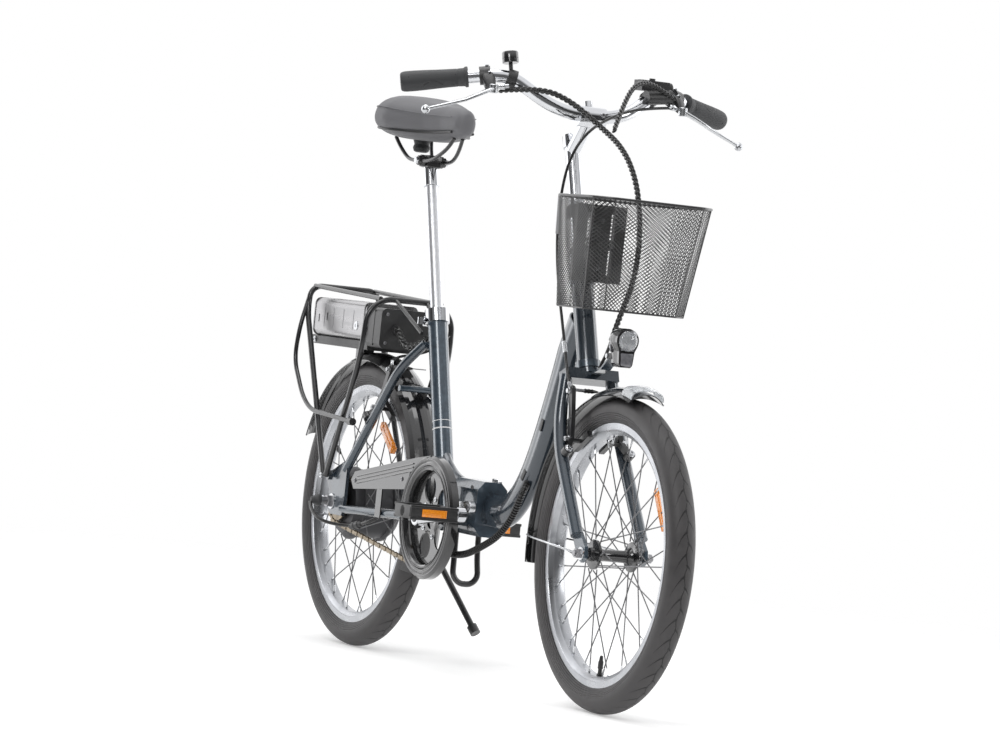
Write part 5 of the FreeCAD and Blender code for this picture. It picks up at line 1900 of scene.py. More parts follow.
@dataclass
class Cockpit:
    """Grips, brake levers, bell, control unit and stem details."""

    grip_profile: tuple[tuple[float, float], ...] = (
        (0, 13.0), (0.4, 16.2), (1.2, 16.8), (4.6, 16.8), (5.6, 15.6), (7, 14.8), (16, 14.5),
        (17, 14.1), (18, 14.5), (34, 14.8), (52, 15.4), (70, 16.2), (88, 16.7), (100, 16.6),
        (105, 16.0), (108.4, 14.6), (109.6, 12.2), (109.8, 6.0), (109.2, 5.4), (109.2, 1.0),
    )

    def build(self) -> None:
        """Builds everything on the bar."""
        for side, label in ((1, "left"), (-1, "right")):
            self.grip(side, label)
            self.lever(side, label)
        self.bell()
        self.control()
        self.stem()

    def grip(self, side: int, label: str) -> None:
        """Builds one grip with its parting lines.

        Args:
            side: 1 for left, -1 for right.
            label: Its side in words.
        """
        start, end = mirrored_point(on_grip(196), side), mirrored_point(on_grip(293.5), side)
        body = turned_piece("grip_body", start, end, self.grip_profile, GRIP_RUBBER, 40)
        turn = basis_along(end - start)
        parts = [body]
        for first, sweep in ((20.0, 150.0), (200.0, 150.0)):
            line = []
            for step in range(11):
                share = step / 10
                distance = 20 + 76 * share
                radius = float(np.interp(distance, *zip(*self.grip_profile[6:13]))) + 0.05
                angle = math.radians(first + sweep * math.sin(share * math.pi))
                local = Vector((math.cos(angle) * radius, math.sin(angle) * radius, distance)) * MM
                line.append(start + turn @ local)
            parts.append(route_tube("grip_line", line, 0.55, CABLE_SKIN))
        stands_for = ["grips"] if side > 0 else []
        settle(join_pieces(f"grip_{label}", parts), "steering", stands_for)

    def lever(self, side: int, label: str) -> None:
        """Builds one lever blade, its adjuster and its bracket's bolts.

        Args:
            side: 1 for left, -1 for right.
            label: Its side in words.
        """
        pivot, tip = mm(232, side * 172, 968), mm(226, side * 284, 923)
        knee = pivot.lerp(tip, 0.45) + mm(10, 0, -3)
        points = [pivot, pivot.lerp(knee, 0.35) + mm(1, 0, 0.6), pivot.lerp(knee, 0.7) + mm(1.5, 0, 0.4),
            knee, knee.lerp(tip, 0.35) + mm(-0.5, 0, 0), knee.lerp(tip, 0.7), tip]
        sizes = [(7.0, 3.6), (6.6, 3.4), (5.6, 3.1), (5.2, 2.9), (5.2, 2.8), (4.6, 2.8), (3.4, 3.0)]
        parts = [swept_piece("blade_part", points, sizes, Vector((1, 0, 0)), ALLOY),
            ball_part("ball_part", tip, 7.3, ALLOY), turned_piece("eye_part", pivot + mm(0, 0, -7),
            pivot + mm(0, 0, 7), [(0, 6.6), (0.8, 7.4), (13.2, 7.4), (14, 6.6)], ALLOY, 28)]
        made = join_pieces(f"brake_lever_{label}", parts)
        settle(made, f"{label}_lever", [f"{label}_brake_lever"])
        middle = mirrored_point(on_grip(172), side)
        along = mirrored_point(on_grip(190), side) - mirrored_point(on_grip(160), side)
        along.normalize()
        adjuster_at = pivot + mm(-8, -side * 10, 4)
        adjuster = turned_piece(f"adjuster_{label}", adjuster_at, adjuster_at - along,
            [(0, 4.2), (6, 4.2), (6.4, 5.4), (12, 5.4), (12.6, 3.6), (19, 3.2)], ALLOY, 20)
        settle(adjuster, "steering")
        bolts = [middle + mm(14.8, 0, 4), middle + mm(2, 0, 15.2)]
        stamp_on(f"lever_bolts_{label}", screw_stamp("bolt_stamp", 3.6, 3.0, ALLOY), bolts,
            [(1, 0, 0), (0.1, 0, 1)], ALLOY, "steering")
        skirt = swept_piece(f"lever_bracket_cover_{label}", [middle + mm(10, 0, -2),
            middle + mm(18, 0, -8), pivot + mm(-10.5, 0, 2.5)], [(10, 8.2), (10.5, 8.0), (8, 7.0)], along,
            PLASTIC, 20, 0.6)
        settle(skirt, "steering")

    def bell(self) -> None:
        """Builds the bell's dome with the seam round it."""
        low, high = mm(205.9, -134, 1013.4), mm(202.0, -135.6, 1032)
        length = (high - low).length / MM
        dome = turned_piece("bell_cap", low, high, [(0, 4), (0, 12.6), (0.8, 13.4), (6.2, 13.5),
            (6.6, 12.8), (7.2, 12.8), (7.6, 13.5), (length - 2.4, 13.4), (length - 0.7, 12.4),
            (length, 10.0), (length, 1.0)], GLOSS_BLACK, 44)
        settle(dome, "bell", ["bell_dome"])

    def control(self) -> None:
        """Adds a display plate and a knob to the control unit."""
        plate = block_piece("control_display", mm(199, 100, 1012.4), mm(207, 142, 1013.9), GLOSS_BLACK, 0.6)
        settle(plate, "steering")
        knob = turned_piece("control_knob", mm(206, 150, 1004), mm(206, 156, 1004),
            [(-4, 9.0), (0, 9.6), (8, 9.4), (9.4, 8.2), (9.4, 2)], PLASTIC, 28)
        settle(knob, "steering")

    def stem(self) -> None:
        """Adds the bolts, the clamp ring and its lug to the stem."""
        spots = [mm(242, y, 941) + mm(16.4, 0, 4) for y in (-14, 14)]
        stamp_on("stem_bolts", screw_stamp("bolt_stamp", 4.2, 3.4, STEEL), spots, [(1, 0, 0.25)], STEEL,
            "steering")
        low = on_stem(700)
        ring = turned_piece("stem_clamp_ring", low, low + STEER_WAY,
            [(0, 17.2), (0.6, 18.2), (13, 18.2), (13.6, 17.2)], CHROME, 44)
        settle(ring, "steering")
        lug = block_piece("stem_clamp_lug", low + mm(-27, -8, 1), low + mm(-13, 8, 13), CHROME, 2.0)
        settle(lug, "steering")


@dataclass
class Cables:
    """Spiral-wrapped bundles, brake cables and ribbed conduits."""

    bundle_right: tuple[Point, ...] = (
        (214, -150, 968), (250, -96, 978), (268, -50, 962), (302, -12, 927), (368, 2, 893),
        (412, 8, 846), (436, 10, 790), (446, 10, 730), (436, 10, 676), (404, 10, 628), (382, 10, 586),
    )
    bundle_left: tuple[Point, ...] = (
        (234, 150, 988), (246, 106, 1008), (266, 64, 1004), (290, 34, 968), (318, 8, 922))
    front_brake: tuple[Point, ...] = (
        (228, 150, 972), (240, 96, 966), (262, 34, 948), (276, -20, 916), (266, -42, 868),
        (252, -44, 800), (258, -44, 730), (286, -46, 660), (322, -48, 596), (352, -50, 540),
        (362, -48, 514),
    )

    def wrap_stamp(self, radius: float) -> bpy.types.Object:
        """One slanted bead of the spiral wrap, round the origin with its run along Z.

        Args:
            radius: The wrapped bundle's radius in mm.

        Returns:
            The object.
        """
        tilt = Vector((math.sin(0.62), 0, math.cos(0.62)))
        half = radius * 1.15
        profile = [(half * (1 - math.cos(math.pi * i / 6)), max(radius * 0.62 * math.sin(math.pi * i / 6),
            0.05)) for i in range(7)]
        middle = mm(0, radius * 0.38, 0)
        return turned_piece("wrap_stamp", middle - tilt * half * MM, middle + tilt, profile, CABLE_SKIN, 8,
            math.pi)

    def wrapped(self, name: str, route: Sequence[Point], radius: float, body: str,
            stands_for: Sequence[str] = ()) -> None:
        """A bundle in a spiral wrap.

        Args:
            name: The piece's name.
            route: Its route in mm.
            radius: Its radius in mm.
            body: The body it moves with.
            stands_for: CAD nodes that it replaces.
        """
        points = mm_points(route)
        core = route_tube("core_part", points, radius * 0.62, CABLE_SKIN)
        wrap = TOOLS.strung("wrap_part", self.wrap_stamp(radius), points, radius * 0.84, CABLE_SKIN,
            spin=math.pi)
        settle(join_pieces(name, [core, wrap]), body, stands_for)

    def ribbed(self, name: str, route: Sequence[Point], radius: float, body: str,
            stands_for: Sequence[str]) -> None:
        """A corrugated conduit.

        Args:
            name: The piece's name.
            route: Its route in mm.
            radius: Its outer radius in mm.
            body: The body it moves with.
            stands_for: CAD nodes that it replaces.
        """
        points = mm_points(route)
        core = route_tube("core_part", points, radius - 2.0, CABLE_SKIN)
        stamp = turned_piece("rib_stamp", mm(0, 0, -1.5), mm(0, 0, 1),
            [(0, radius - 2.2), (0.5, radius - 0.3), (1.1, radius), (1.9, radius), (2.5, radius - 0.3),
            (3.0, radius - 2.2)], CABLE_SKIN, 20, math.pi)
        ribs = TOOLS.strung("rib_part", stamp, points, 5.2, CABLE_SKIN)
        settle(join_pieces(name, [core, ribs]), body, stands_for)

    def build(self) -> None:
        """Builds all the cables."""
        self.wrapped("bundle_right", self.bundle_right, 5.0, "steering", ["cable_bundle"])
        self.wrapped("bundle_left", self.bundle_left, 4.5, "steering")
        cable = route_tube("front_brake_line", mm_points(self.front_brake), 2.4, CABLE_SKIN)
        settle(cable, "steering", ["front_brake_cable"])
        sleeve = turned_piece("front_brake_sleeve", mm(331.9, -48.7, 577), mm(341.9, -49.3, 559),
            [(0, 2.6), (0.6, 3.8), (20, 3.8), (20.6, 2.6)], ALLOY, 24)
        settle(sleeve, "steering")
        grey = turned_piece("front_brake_sheath", mm(253.2, -44, 812), mm(257.8, -44, 744),
            [(0, 2.6), (1, 3.7), (64, 3.7), (65, 2.6)], GREY_PLASTIC, 20)
        settle(grey, "steering")
        self.ribbed("conduit_rear_ribbed", ((-62, -38, 232), (-62, -38, 212), (-46, -38, 203),
            (-30.4, -38, 202)), 6, "rear_frame", ["conduit_rear"])
        self.ribbed("conduit_front_ribbed", ((-29.6, -38, 202), (10, -38, 202), (70, -34, 222),
            (120, -27, 246), (160, -24, 282), (182, -24.5, 318), (184, -18, 334), (170, -9, 342)), 6,
            "front_frame", ["conduit_front"])
        tail = route_tube("bundle_tail", mm_points(((384, 10, 590), (372, 10, 566), (356, 9, 546),
            (350, 8, 530))), 2.8, CABLE_SKIN)
        settle(tail, "steering")
        self.wrapped("controller_lead", ((-395.5, -18, 560), (-378, -20, 560), (-352, -22, 536),
            (-318, -16, 534), (-286, -6, 552)), 6.6, "rear_frame", ["rear_cables"])
        motor = route_tube("motor_lead", mm_points(((-486, -107, 246), (-470, -112, 232),
            (-430, -106, 216), (-380, -72, 214), (-330, -66, 226), (-316, -57, 233), (-306, -50, 243))),
            3.0, CABLE_SKIN)
        settle(motor, "rear_frame")
        plug = turned_piece("motor_plug", mm(-380, -72.5, 214), mm(-345, -67.5, 222.5),
            [(0, 3.4), (2, 5.4), (9, 6.0), (10, 7.0), (16, 7.0), (17, 6.2), (20, 6.2), (21, 7.0),
            (28, 7.0), (29, 5.6), (35, 4.6), (36, 3.2)], PLASTIC, 28)
        settle(plug, "rear_frame")
        cone = turned_piece("motor_cone", mm(-485, -90.2, 250), mm(-485, -107.2, 250),
            [(0, 10.4), (0.8, 11), (5, 10.4), (6, 9.2), (12, 7), (13, 6.6), (16, 5.4), (17, 4.2)],
            GRIP_RUBBER, 28)
        settle(cone, "rear_frame")
        brake = route_tube("rear_brake_line", mm_points(((-270, 27, 562), (-302, 34, 552), (-334, 26, 532),
            (-352, 0, 520), (-352, -28, 516), (-348, -40, 508))), 2.4, CABLE_SKIN)
        settle(brake, "rear_frame")


@dataclass
class Drive:
    """Chain, crankset, pedals, guard details and axles."""

    chain_y: float = -53.0
    big: float = 89.3
    small: float = 36.8
    pitch: float = 12.7

    def build(self) -> None:
        """Builds the drive."""
        self.chain()
        self.crankset()
        for side in SIDES:
            self.pedal(side)
        self.guard()
        self.axles()

    def loop(self) -> tuple[list[Vector], list[Vector]]:
        """Places of the chain's pins, evenly spaced, and the tangents there.

        Returns:
            The middles between pins and the directions there.
        """
        start, end = Vector((-90, 0, 256)), Vector((-485, 0, 250))
        line = end - start
        base = math.atan2(line.z, line.x)
        spread = math.acos((self.big - self.small) / line.length)
        points = []

        def arc(centre: Vector, radius: float, first: float, last: float, count: int) -> None:
            """Adds points of one arc of the loop.

            Args:
                centre: The toothed disc's middle.
                radius: The pitch radius.
                first: The first angle.
                last: The last angle.
                count: How many steps.
            """
            for step in range(count + 1):
                angle = first + (last - first) * step / count
                points.append(centre + Vector((math.cos(angle), 0, math.sin(angle))) * radius)

        arc(start, self.big, base + spread, base + 2 * math.pi - spread, 120)
        arc(end, self.small, base - spread, base + spread, 60)
        points.append(points[0])
        lengths = np.cumsum([0] + [(b - a).length for a, b in zip(points, points[1:])])
        count = int(round(lengths[-1] / self.pitch / 2)) * 2
        places, ways = [], []
        for number in range(count):
            here = lengths[-1] * (number + 0.5) / count
            ahead = (here + 4) % lengths[-1]
            spot = [float(np.interp(here, lengths, [p[axis] for p in points])) for axis in range(3)]
            later = [float(np.interp(ahead, lengths, [p[axis] for p in points])) for axis in range(3)]
            places.append(mm(spot[0], self.chain_y, spot[2]))
            ways.append((Vector(later) - Vector(spot)).normalized())
        return places, ways

    def link_stamp(self, wide: float) -> bpy.types.Object:
        """A chain link with two plates and two rollers, its run along Z.

        Args:
            wide: Distance of each plate from the middle in mm.

        Returns:
            The object.
        """
        parts = []
        outline = [(-3.8, -6.3), (-2.4, -9.3), (2.4, -9.3), (3.8, -6.3), (2.7, 0), (3.8, 6.3), (2.4, 9.3),
            (-2.4, 9.3), (-3.8, 6.3), (-2.7, 0)]
        for side in SIDES:
            low = side * wide - 0.5
            parts.append(outline_piece("plate_part", outline, low, low + 1.0, BRASS, axis=1, bevel=0.0))
        for z in (-6.35, 6.35):
            parts.append(turned_piece("roller_part", mm(0, -wide - 0.4, z), mm(0, 10, z),
                [(0, 1.8), (2 * wide + 0.8, 1.8)], BRASS, 6))
        return join_pieces("link_stamp", parts)

    def chain(self) -> None:
        """Builds the chain from alternate wide and narrow links."""
        places, ways = self.loop()
        side = Vector((0, 1, 0))
        turns = [Matrix((side.cross(way), side, way)).transposed() for way in ways]
        for name, first, wide in (("chain_outer_links", 0, 2.9), ("chain_inner_links", 1, 1.9)):
            made = TOOLS.stamped(name, self.link_stamp(wide), places[first::2], turns[first::2], BRASS)
            settle(made, "rear_frame", ["chain"] if first == 0 else [])

    def crankset(self) -> None:
        """Dresses the chainring and spider, and builds the crank arms and ring bolts."""
        def arm_face(middle: Vector, _normal: Vector) -> bool:
            """Whether a face belongs to an arm, from its middle in mm."""
            return abs(middle.y) > 65.5

        made = repainted("crankset", "crank", GLOSS_BLACK, [(arm_face, ALLOY)])
        work = bmesh.new()
        work.from_mesh(made.data)
        gone = [v for v in work.verts if v.co.y < -0.0716 or v.co.y > 0.0655]
        bmesh.ops.delete(work, geom=gone, context="VERTS")
        work.to_mesh(made.data)
        work.free()
        for side, name in ((-1, "right"), (1, "left")):
            inner = 72 if side < 0 else 66
            start = BRACKET + mm(0, side * (inner + 7), 0)
            end = start - CRANK_WAY * side * CRANK_LENGTH
            points = [start.lerp(end, t) for t in (0.0, 0.08, 0.3, 0.6, 0.9, 1.0)]
            parts = [swept_piece("arm_part", points, [(6.8, 13), (6.8, 12.5), (6.2, 10.6), (5.9, 9.6),
                (6.0, 10.4), (6.0, 10.4)], Vector((0, 1, 0)), CHROME, 24, 0.62)]
            for spot, radius in ((start, 15.0), (end, 12.0)):
                foot = spot - mm(0, side * 7, 0)
                parts.append(round_y("boss_part", foot.x / MM, foot.z / MM,
                    [(0, radius - 1), (1, radius), (12.6, radius), (14, radius - 1.4)], CHROME,
                    foot.y / MM, side, 36))
            cap = start + mm(0, side * 6.8, 0)
            parts.append(round_y("cap_part", cap.x / MM, cap.z / MM,
                [(0, 9.5), (1.2, 9.2), (2.0, 8.0), (2.0, 1.0)], PLASTIC, cap.y / MM, side, 28))
            settle(join_pieces(f"crank_arm_{name}", parts), "crank")
        bolts = []
        for number in range(5):
            angle = math.radians(72 * number)
            bolts.append(BRACKET + mm(math.cos(angle) * 33, -54.3, math.sin(angle) * 33))
        stamp_on("chainring_bolts", screw_stamp("bolt_stamp", 4.4, 2.2, ALLOY), bolts, [(0, -1, 0)], ALLOY,
            "crank")

    def pedal(self, side: int) -> None:
        """Builds one cage pedal with its reflectors.

        Args:
            side: 1 for left, -1 for right.
        """
        name = "left" if side > 0 else "right"
        eye = (BRACKET - CRANK_WAY * CRANK_LENGTH * side) / MM
        inner = 76 if side < 0 else 70
        near, far = inner + 22, inner + 108
        parts = [round_y("core_part", eye.x, eye.z, [(0, 8.6), (1, 10), (26, 8.6), (60, 8.6), (85, 10),
            (86, 8.6)], PLASTIC, side * near, side, 28)]
        low, high = sorted((side * near, side * far))
        for end in (-1, 1):
            x = eye.x + end * 31
            for z in (-9.6, 9.6):
                parts.append(block_piece("rail_part", mm(x - 3, low, eye.z + z - 2.4),
                    mm(x + 3, high, eye.z + z + 2.4), PLASTIC, 0.9))
            parts.append(block_piece("web_part", mm(x - 1.6, low + 1, eye.z - 8),
                mm(x + 1.6, high - 1, eye.z + 8), PLASTIC, 0.5))
        for y in (near + 4, far - 4):
            parts.append(block_piece("end_part", mm(eye.x - 31, side * y - 4, eye.z - 11),
                mm(eye.x + 31, side * y + 4, eye.z + 11), PLASTIC, 1.6))
        for x in (-14, 14):
            parts.append(block_piece("spar_part", mm(eye.x + x - 2, low + 6, eye.z - 7),
                mm(eye.x + x + 2, high - 6, eye.z + 7), PLASTIC, 0.8))
        made = join_pieces(f"pedal_{name}_cage", parts)
        settle(made, f"pedal_{name}", [f"{name}_pedal"])
        middle = side * (near + far) / 2
        lenses = []
        for end in (-1, 1):
            x = eye.x + end * 33.0
            lenses.append(block_piece("lens_part", mm(x - 1.4, middle - 22, eye.z - 6.4),
                mm(x + 1.4, middle + 22, eye.z + 6.4), AMBER, 0.8))
        settle(join_pieces(f"pedal_{name}_reflectors", lenses), f"pedal_{name}")
        spindle = round_y(f"pedal_{name}_spindle", eye.x, eye.z,
            [(0, 4.7), (6, 4.7), (6.2, 7.4), (11, 7.4), (11.2, 5.4), (22.4, 5.2)], STEEL, side * inner,
            side, 24)
        settle(spindle, f"pedal_{name}")
        teeth, ways = [], []
        for end in (-1, 1):
            for way in (-1, 1):
                for number in range(9):
                    y = low + 10 + number * (high - low - 20) / 8
                    teeth.append(mm(eye.x + end * 31, y, eye.z + way * 11.0))
                    ways.append((0, 0, way))
        stamp = turned_piece("tooth_stamp", ORIGIN, Vector((0, 0, 1)),
            [(-0.5, 2.0), (1.0, 1.2), (1.0, 0.4)], PLASTIC, 6)
        stamp_on(f"pedal_{name}_teeth", stamp, teeth, ways, PLASTIC, f"pedal_{name}")

    def guard(self) -> None:
        """Adds the ribs and screws of the chain guard."""
        edges = []
        for drop in (9.0, 15.0, 21.0):
            edges.append((mm(-158, -66.4, 351.6 - drop - 0.172 * 8),
                mm(-386, -66.4, 351.6 - drop - 0.172 * 236)))
        ribs = TOOLS.bars("guard_ribs", edges, 1.3, GLOSS_BLACK, 10)
        settle(ribs, "rear_frame")
        rings = []
        for radius in (84.5, 89.5, 99.0):
            rings.append(wheel_piece("ring_part", BRACKET, [(radius - 1.1, -67.8), (radius, -68.7),
                (radius + 1.1, -67.8), (radius, -67.4)], GLOSS_BLACK, 120, math.pi))
        settle(join_pieces("guard_rings", rings), "rear_frame")
        spots = [mm(-396, -65.8, 294), mm(-200, -65.8, 312)]
        stamp_on("guard_screws", screw_stamp("bolt_stamp", 3.8, 2.2, STEEL), spots, [(0, -1, 0)], STEEL,
            "rear_frame")

    def axles(self) -> None:
        """Builds the axles with washers, hexagon nuts and caps."""
        for name, x, radius, dropout, nut, ends, body in (
            ("front_axle", 485, 5.0, 56.2, 8.0, (-70, 70), "steering"),
            ("rear_axle", -485, 7.0, 67.2, 11.0, (-90, 88), "rear_frame"),
        ):
            low, high = ends
            parts = [round_y("rod_part", x, 250, [(0, radius - 0.8), (0.8, radius - 0.1),
                (high - low - 0.8, radius - 0.1), (high - low, radius - 0.8)], STEEL, low, 1, 24)]
            for side in SIDES:
                parts.append(round_y("washer_part", x, 250, [(0, nut + 2.8), (1.6, nut + 2.8),
                    (2, nut + 2.4)], ALLOY, side * dropout, side, 36))
                parts.append(round_y("nut_part", x, 250, [(2, nut), (10.2, nut), (11, nut - 1.0)], STEEL,
                    side * dropout, side, 6))
            settle(join_pieces(name + "_set", parts), body, [name])
        half = [(0, 9.0), (1.5, 10.6), (8.6, 11.2), (9.4, 23.2), (10.2, 24.0), (13.4, 24.0),
                (14.2, 23.2), (15.6, 15.6), (19, 12.2), (27, 9.8)]
        profile = half + [(90 - distance, radius) for distance, radius in reversed(half)]
        hub = round_y("front_hub_shell", 485, 250, profile, GLOSS_BLACK, -45, 1, 56)
        settle(hub, "front_wheel", ["front_hub"])


@dataclass
class Lamp:
    """Headlamp with a clear upper lens over a prismatic lower reflector."""

    middle_z: float = 577.0

    def outline(self, inset: float, low: float, high: float) -> list[tuple[float, float]]:
        """The lamp's front outline between two heights.

        Args:
            inset: How far inside the shell, in mm.
            low: Lowest height above the middle.
            high: Highest height above the middle.

        Returns:
            Corners as Y and Z in mm.
        """
        right = []
        for step in range(25):
            height = low + (high - low) * step / 24
            if height > 12:
                half = 19.5 * math.sqrt(max(1 - ((height - 12) / 19.2) ** 2, 0.0004))
            elif height < -24:
                half = 12.4 * (1 - 0.30 * ((-24 - height) / 7) ** 2)
            elif height < -5:
                half = 12.4 + 1.6 * (height + 24) / 19
            else:
                half = 14.0 + 5.5 * math.sin(math.pi / 2 * (height + 5) / 17)
            right.append((max(half - inset, 0.4), self.middle_z + height))
        return right + [(-y, z) for y, z in reversed(right)]

    def build(self) -> None:
        """Builds the lamp."""
        shell = outline_piece("shell_part", self.outline(0, -31, 31), 432, 460.6, GLOSS_BLACK, 0, 1.2)
        lugs = [block_piece("lug_part", mm(416, side * 11.5 - 2, 557.5), mm(436, side * 11.5 + 2, 566.5),
            PLASTIC, 1.0) for side in SIDES]
        settle(join_pieces("headlamp_shell", [shell, *lugs]), "lamp", ["headlight"])
        back = turned_piece("headlamp_back", mm(436, 0, 580), mm(415, 0, 580),
            [(0, 18.4), (5, 18.0), (9, 16.4), (11, 14.2), (11.4, 4)], LAMP_MIRROR, 40)
        settle(back, "lamp")
        mirror = outline_piece("headlamp_mirror", self.outline(3.4, -4, 27.6), 459.4, 461.2, LAMP_MIRROR,
            0, 0.2)
        settle(mirror, "lamp")
        bulb = ball_part("headlamp_bulb", mm(459.6, 0, 588), 4.6, CHROME)
        bulb.data.transform(Matrix.Translation(mm(459.6, 0, 588)) @ Matrix.Diagonal((0.35, 2.2, 1.0,
            1.0)) @ Matrix.Translation(-mm(459.6, 0, 588)))
        settle(bulb, "lamp")
        lens = turned_piece("headlamp_lens", mm(460.2, 0, 588.4), mm(470, 0, 588.4),
            [(0, 16.2), (1.2, 16.4), (3.0, 15.4), (5.4, 12.6), (7.2, 8.6), (8.2, 4.2), (8.5, 0.4)],
            CLEAR_LENS, 48)
        settle(lens, "lamp")
        prism = outline_piece("headlamp_reflector", self.outline(2.8, -28.6, -8.4), 459.6, 462.6,
            PRISM_GREY, 0, 0.6)
        settle(prism, "lamp")
        bolt = round_y("headlamp_pivot_bolt", 419, 562, [(-15.5, 3.8), (-13, 4.0), (13, 4.0), (15.5, 3.8)],
            ALLOY, 0, 1, 20)
        settle(bolt, "lamp")


@dataclass
class Brakes:
    """Bolts, boots, noodles and wires of the rim brakes."""

    def build(self) -> None:
        """Builds the details of both brakes."""
        for end, boss, out, top in (
            ("front", (381, 55.5, 395), (0.812, 0, 0.584), (366, 42, 504)),
            ("rear", (-381, 54.5, 394.6), (-0.806, 0, 0.592), (-344, 42, 496)),
        ):
            for side, label in ((1, "left"), (-1, "right")):
                arm = f"{end}_arm_{label}"
                foot = mm(boss[0], side * boss[1], boss[2])
                way = Vector(out).normalized()
                bolt = turned_piece(f"{arm}_pivot_bolt", foot + way * 0.0252, foot + way,
                    [(0, 6.4), (1.0, 6.4), (1.4, 5.0), (3.6, 4.8), (4.2, 4.0), (4.2, 2.2), (2.6, 2.0)],
                    ALLOY, 24)
                settle(bolt, arm)
                forward = 1 if end == "front" else -1
                spot = mm(boss[0] + forward * 1.5, side * 46, boss[2] + 29)
                nut = turned_piece(f"{arm}_pad_bolt", spot, spot + mm(0, side * 10, 0),
                    [(0, 5.6), (3, 5.6), (3.4, 4.6), (9, 4.4), (9.6, 3.6)], ALLOY, 18)
                settle(nut, arm)
                head = mm(top[0], side * top[1], top[2])
                clamp = turned_piece(f"{arm}_cable_bolt", head + mm(0, side * 3.6, -4),
                    head + mm(0, side * 10, -4), [(0, 5.0), (2.6, 5.0), (3, 4.2), (6, 4.0)], ALLOY, 6)
                settle(clamp, arm)
        noodle = route_tube("front_noodle", mm_points([(362, -48, 514), (364, -47, 508), (366, -44, 503),
            (368, -34, 502), (368, -22, 502)]), 2.6, ALLOY)
        settle(noodle, "front_arm_right")
        rear = route_tube("rear_noodle", mm_points([(-348, -40, 508), (-346, -42, 500), (-345, -38, 497),
            (-344, -26, 497)]), 2.6, ALLOY)
        settle(rear, "rear_arm_right")
        for name, x, z, start, end, body in (
            ("front", 368, 502, -22, 30, "front_arm_right"), ("rear", -344, 497, -26, 23, "rear_arm_right"),
        ):
            wire = TOOLS.bars(f"{name}_brake_wire", [(mm(x, start, z), mm(x, end, z))], 0.9, STEEL, 8)
            settle(wire, body)
            boot = turned_piece(f"{name}_brake_boot", mm(x, start, z), mm(x, start + 10, z),
                [(0, 3.2), (2, 3.8), (5, 3.0), (8, 3.8), (11, 3.0), (14, 3.6), (17, 2.8), (22, 2.0),
                (24, 1.4)], CABLE_SKIN, 20)
            settle(boot, body)


@dataclass
class RearLoad:
    """Battery, controller and dock details on the rack."""

    def build(self) -> None:
        """Builds the details."""
        bands = []
        for x in (-640, -600, -556, -512):
            for side in SIDES:
                bands.append(block_piece("groove_part", mm(x - 0.6, side * 49.8 - 0.6, 552),
                    mm(x + 0.6, side * 49.8 + 0.6, 586), STEEL, 0.2))
        settle(join_pieces("battery_grooves", bands), "battery")
        caps = [block_piece("cap_part", mm(-691.5, -50.6, 535.6), mm(-676, 50.6, 602.6), PLASTIC, 9.0),
                block_piece("cap_part", mm(-472, -50.6, 535.6), mm(-457.6, 50.6, 602.6), PLASTIC, 9.0)]
        settle(join_pieces("battery_end_caps", caps), "battery")
        ridges = []
        for y in (-30, -15, 0, 15, 30):
            ridges.append((mm(-672, y, 602.0), mm(-476, y, 602.0)))
        settle(TOOLS.bars("battery_ridges", ridges, 1.2, BATTERY_ALLOY, 8), "battery")
        handle = route_tube("battery_handle", mm_points([(-690, -28, 566), (-697, -28, 566),
            (-699, -20, 566), (-699, 20, 566), (-697, 28, 566), (-690, 28, 566)]), 4.0, PLASTIC)
        settle(handle, "battery")
        lock = turned_piece("battery_lock", mm(-496, -49.4, 560), mm(-496, -59.4, 560),
            [(0, 8.0), (1.6, 8.0), (2.2, 7.2), (2.2, 3.4), (1.4, 3.2)], CHROME, 28)
        settle(lock, "battery")
        slots = [block_piece("slot_part", mm(x - 1, -50.7, z - 7), mm(x + 1, -49.6, z + 7), PLASTIC,
            0.4) for x, z in ((-664, 566), (-628, 570))]
        settle(join_pieces("battery_slots", slots), "battery")
        seam = block_piece("controller_seam", mm(-427, -47.6, 530), mm(-425.6, 47.6, 592), CABLE_SKIN, 0.4)
        settle(seam, "rear_frame")
        spots = [mm(-396.6, y, z) for y in (-36, 36) for z in (536, 586)]
        stamp_on("controller_screws", screw_stamp("bolt_stamp", 3.0, 1.6, STEEL), spots, [(1, 0, 0)],
            STEEL, "rear_frame")
        gland = turned_piece("controller_gland", mm(-397.2, -18, 560), mm(-380, -18, 558),
            [(0, 9), (3, 9), (3.6, 7.4), (8, 7), (9, 5.6)], PLASTIC, 28)
        settle(gland, "rear_frame")
        for name, (x, y, z), radius, height in (("dock_bolts", (-690, 41.6, 527), 5.4, 3.4),
                ("rack_foot_bolts", (-506, 81.8, 293), 5.0, 3.6)):
            stamp_on(name, screw_stamp("bolt_stamp", radius, height, ALLOY),
                [mm(x, side * y, z) for side in SIDES], [(0, side, 0) for side in SIDES], ALLOY,
                "rear_frame")


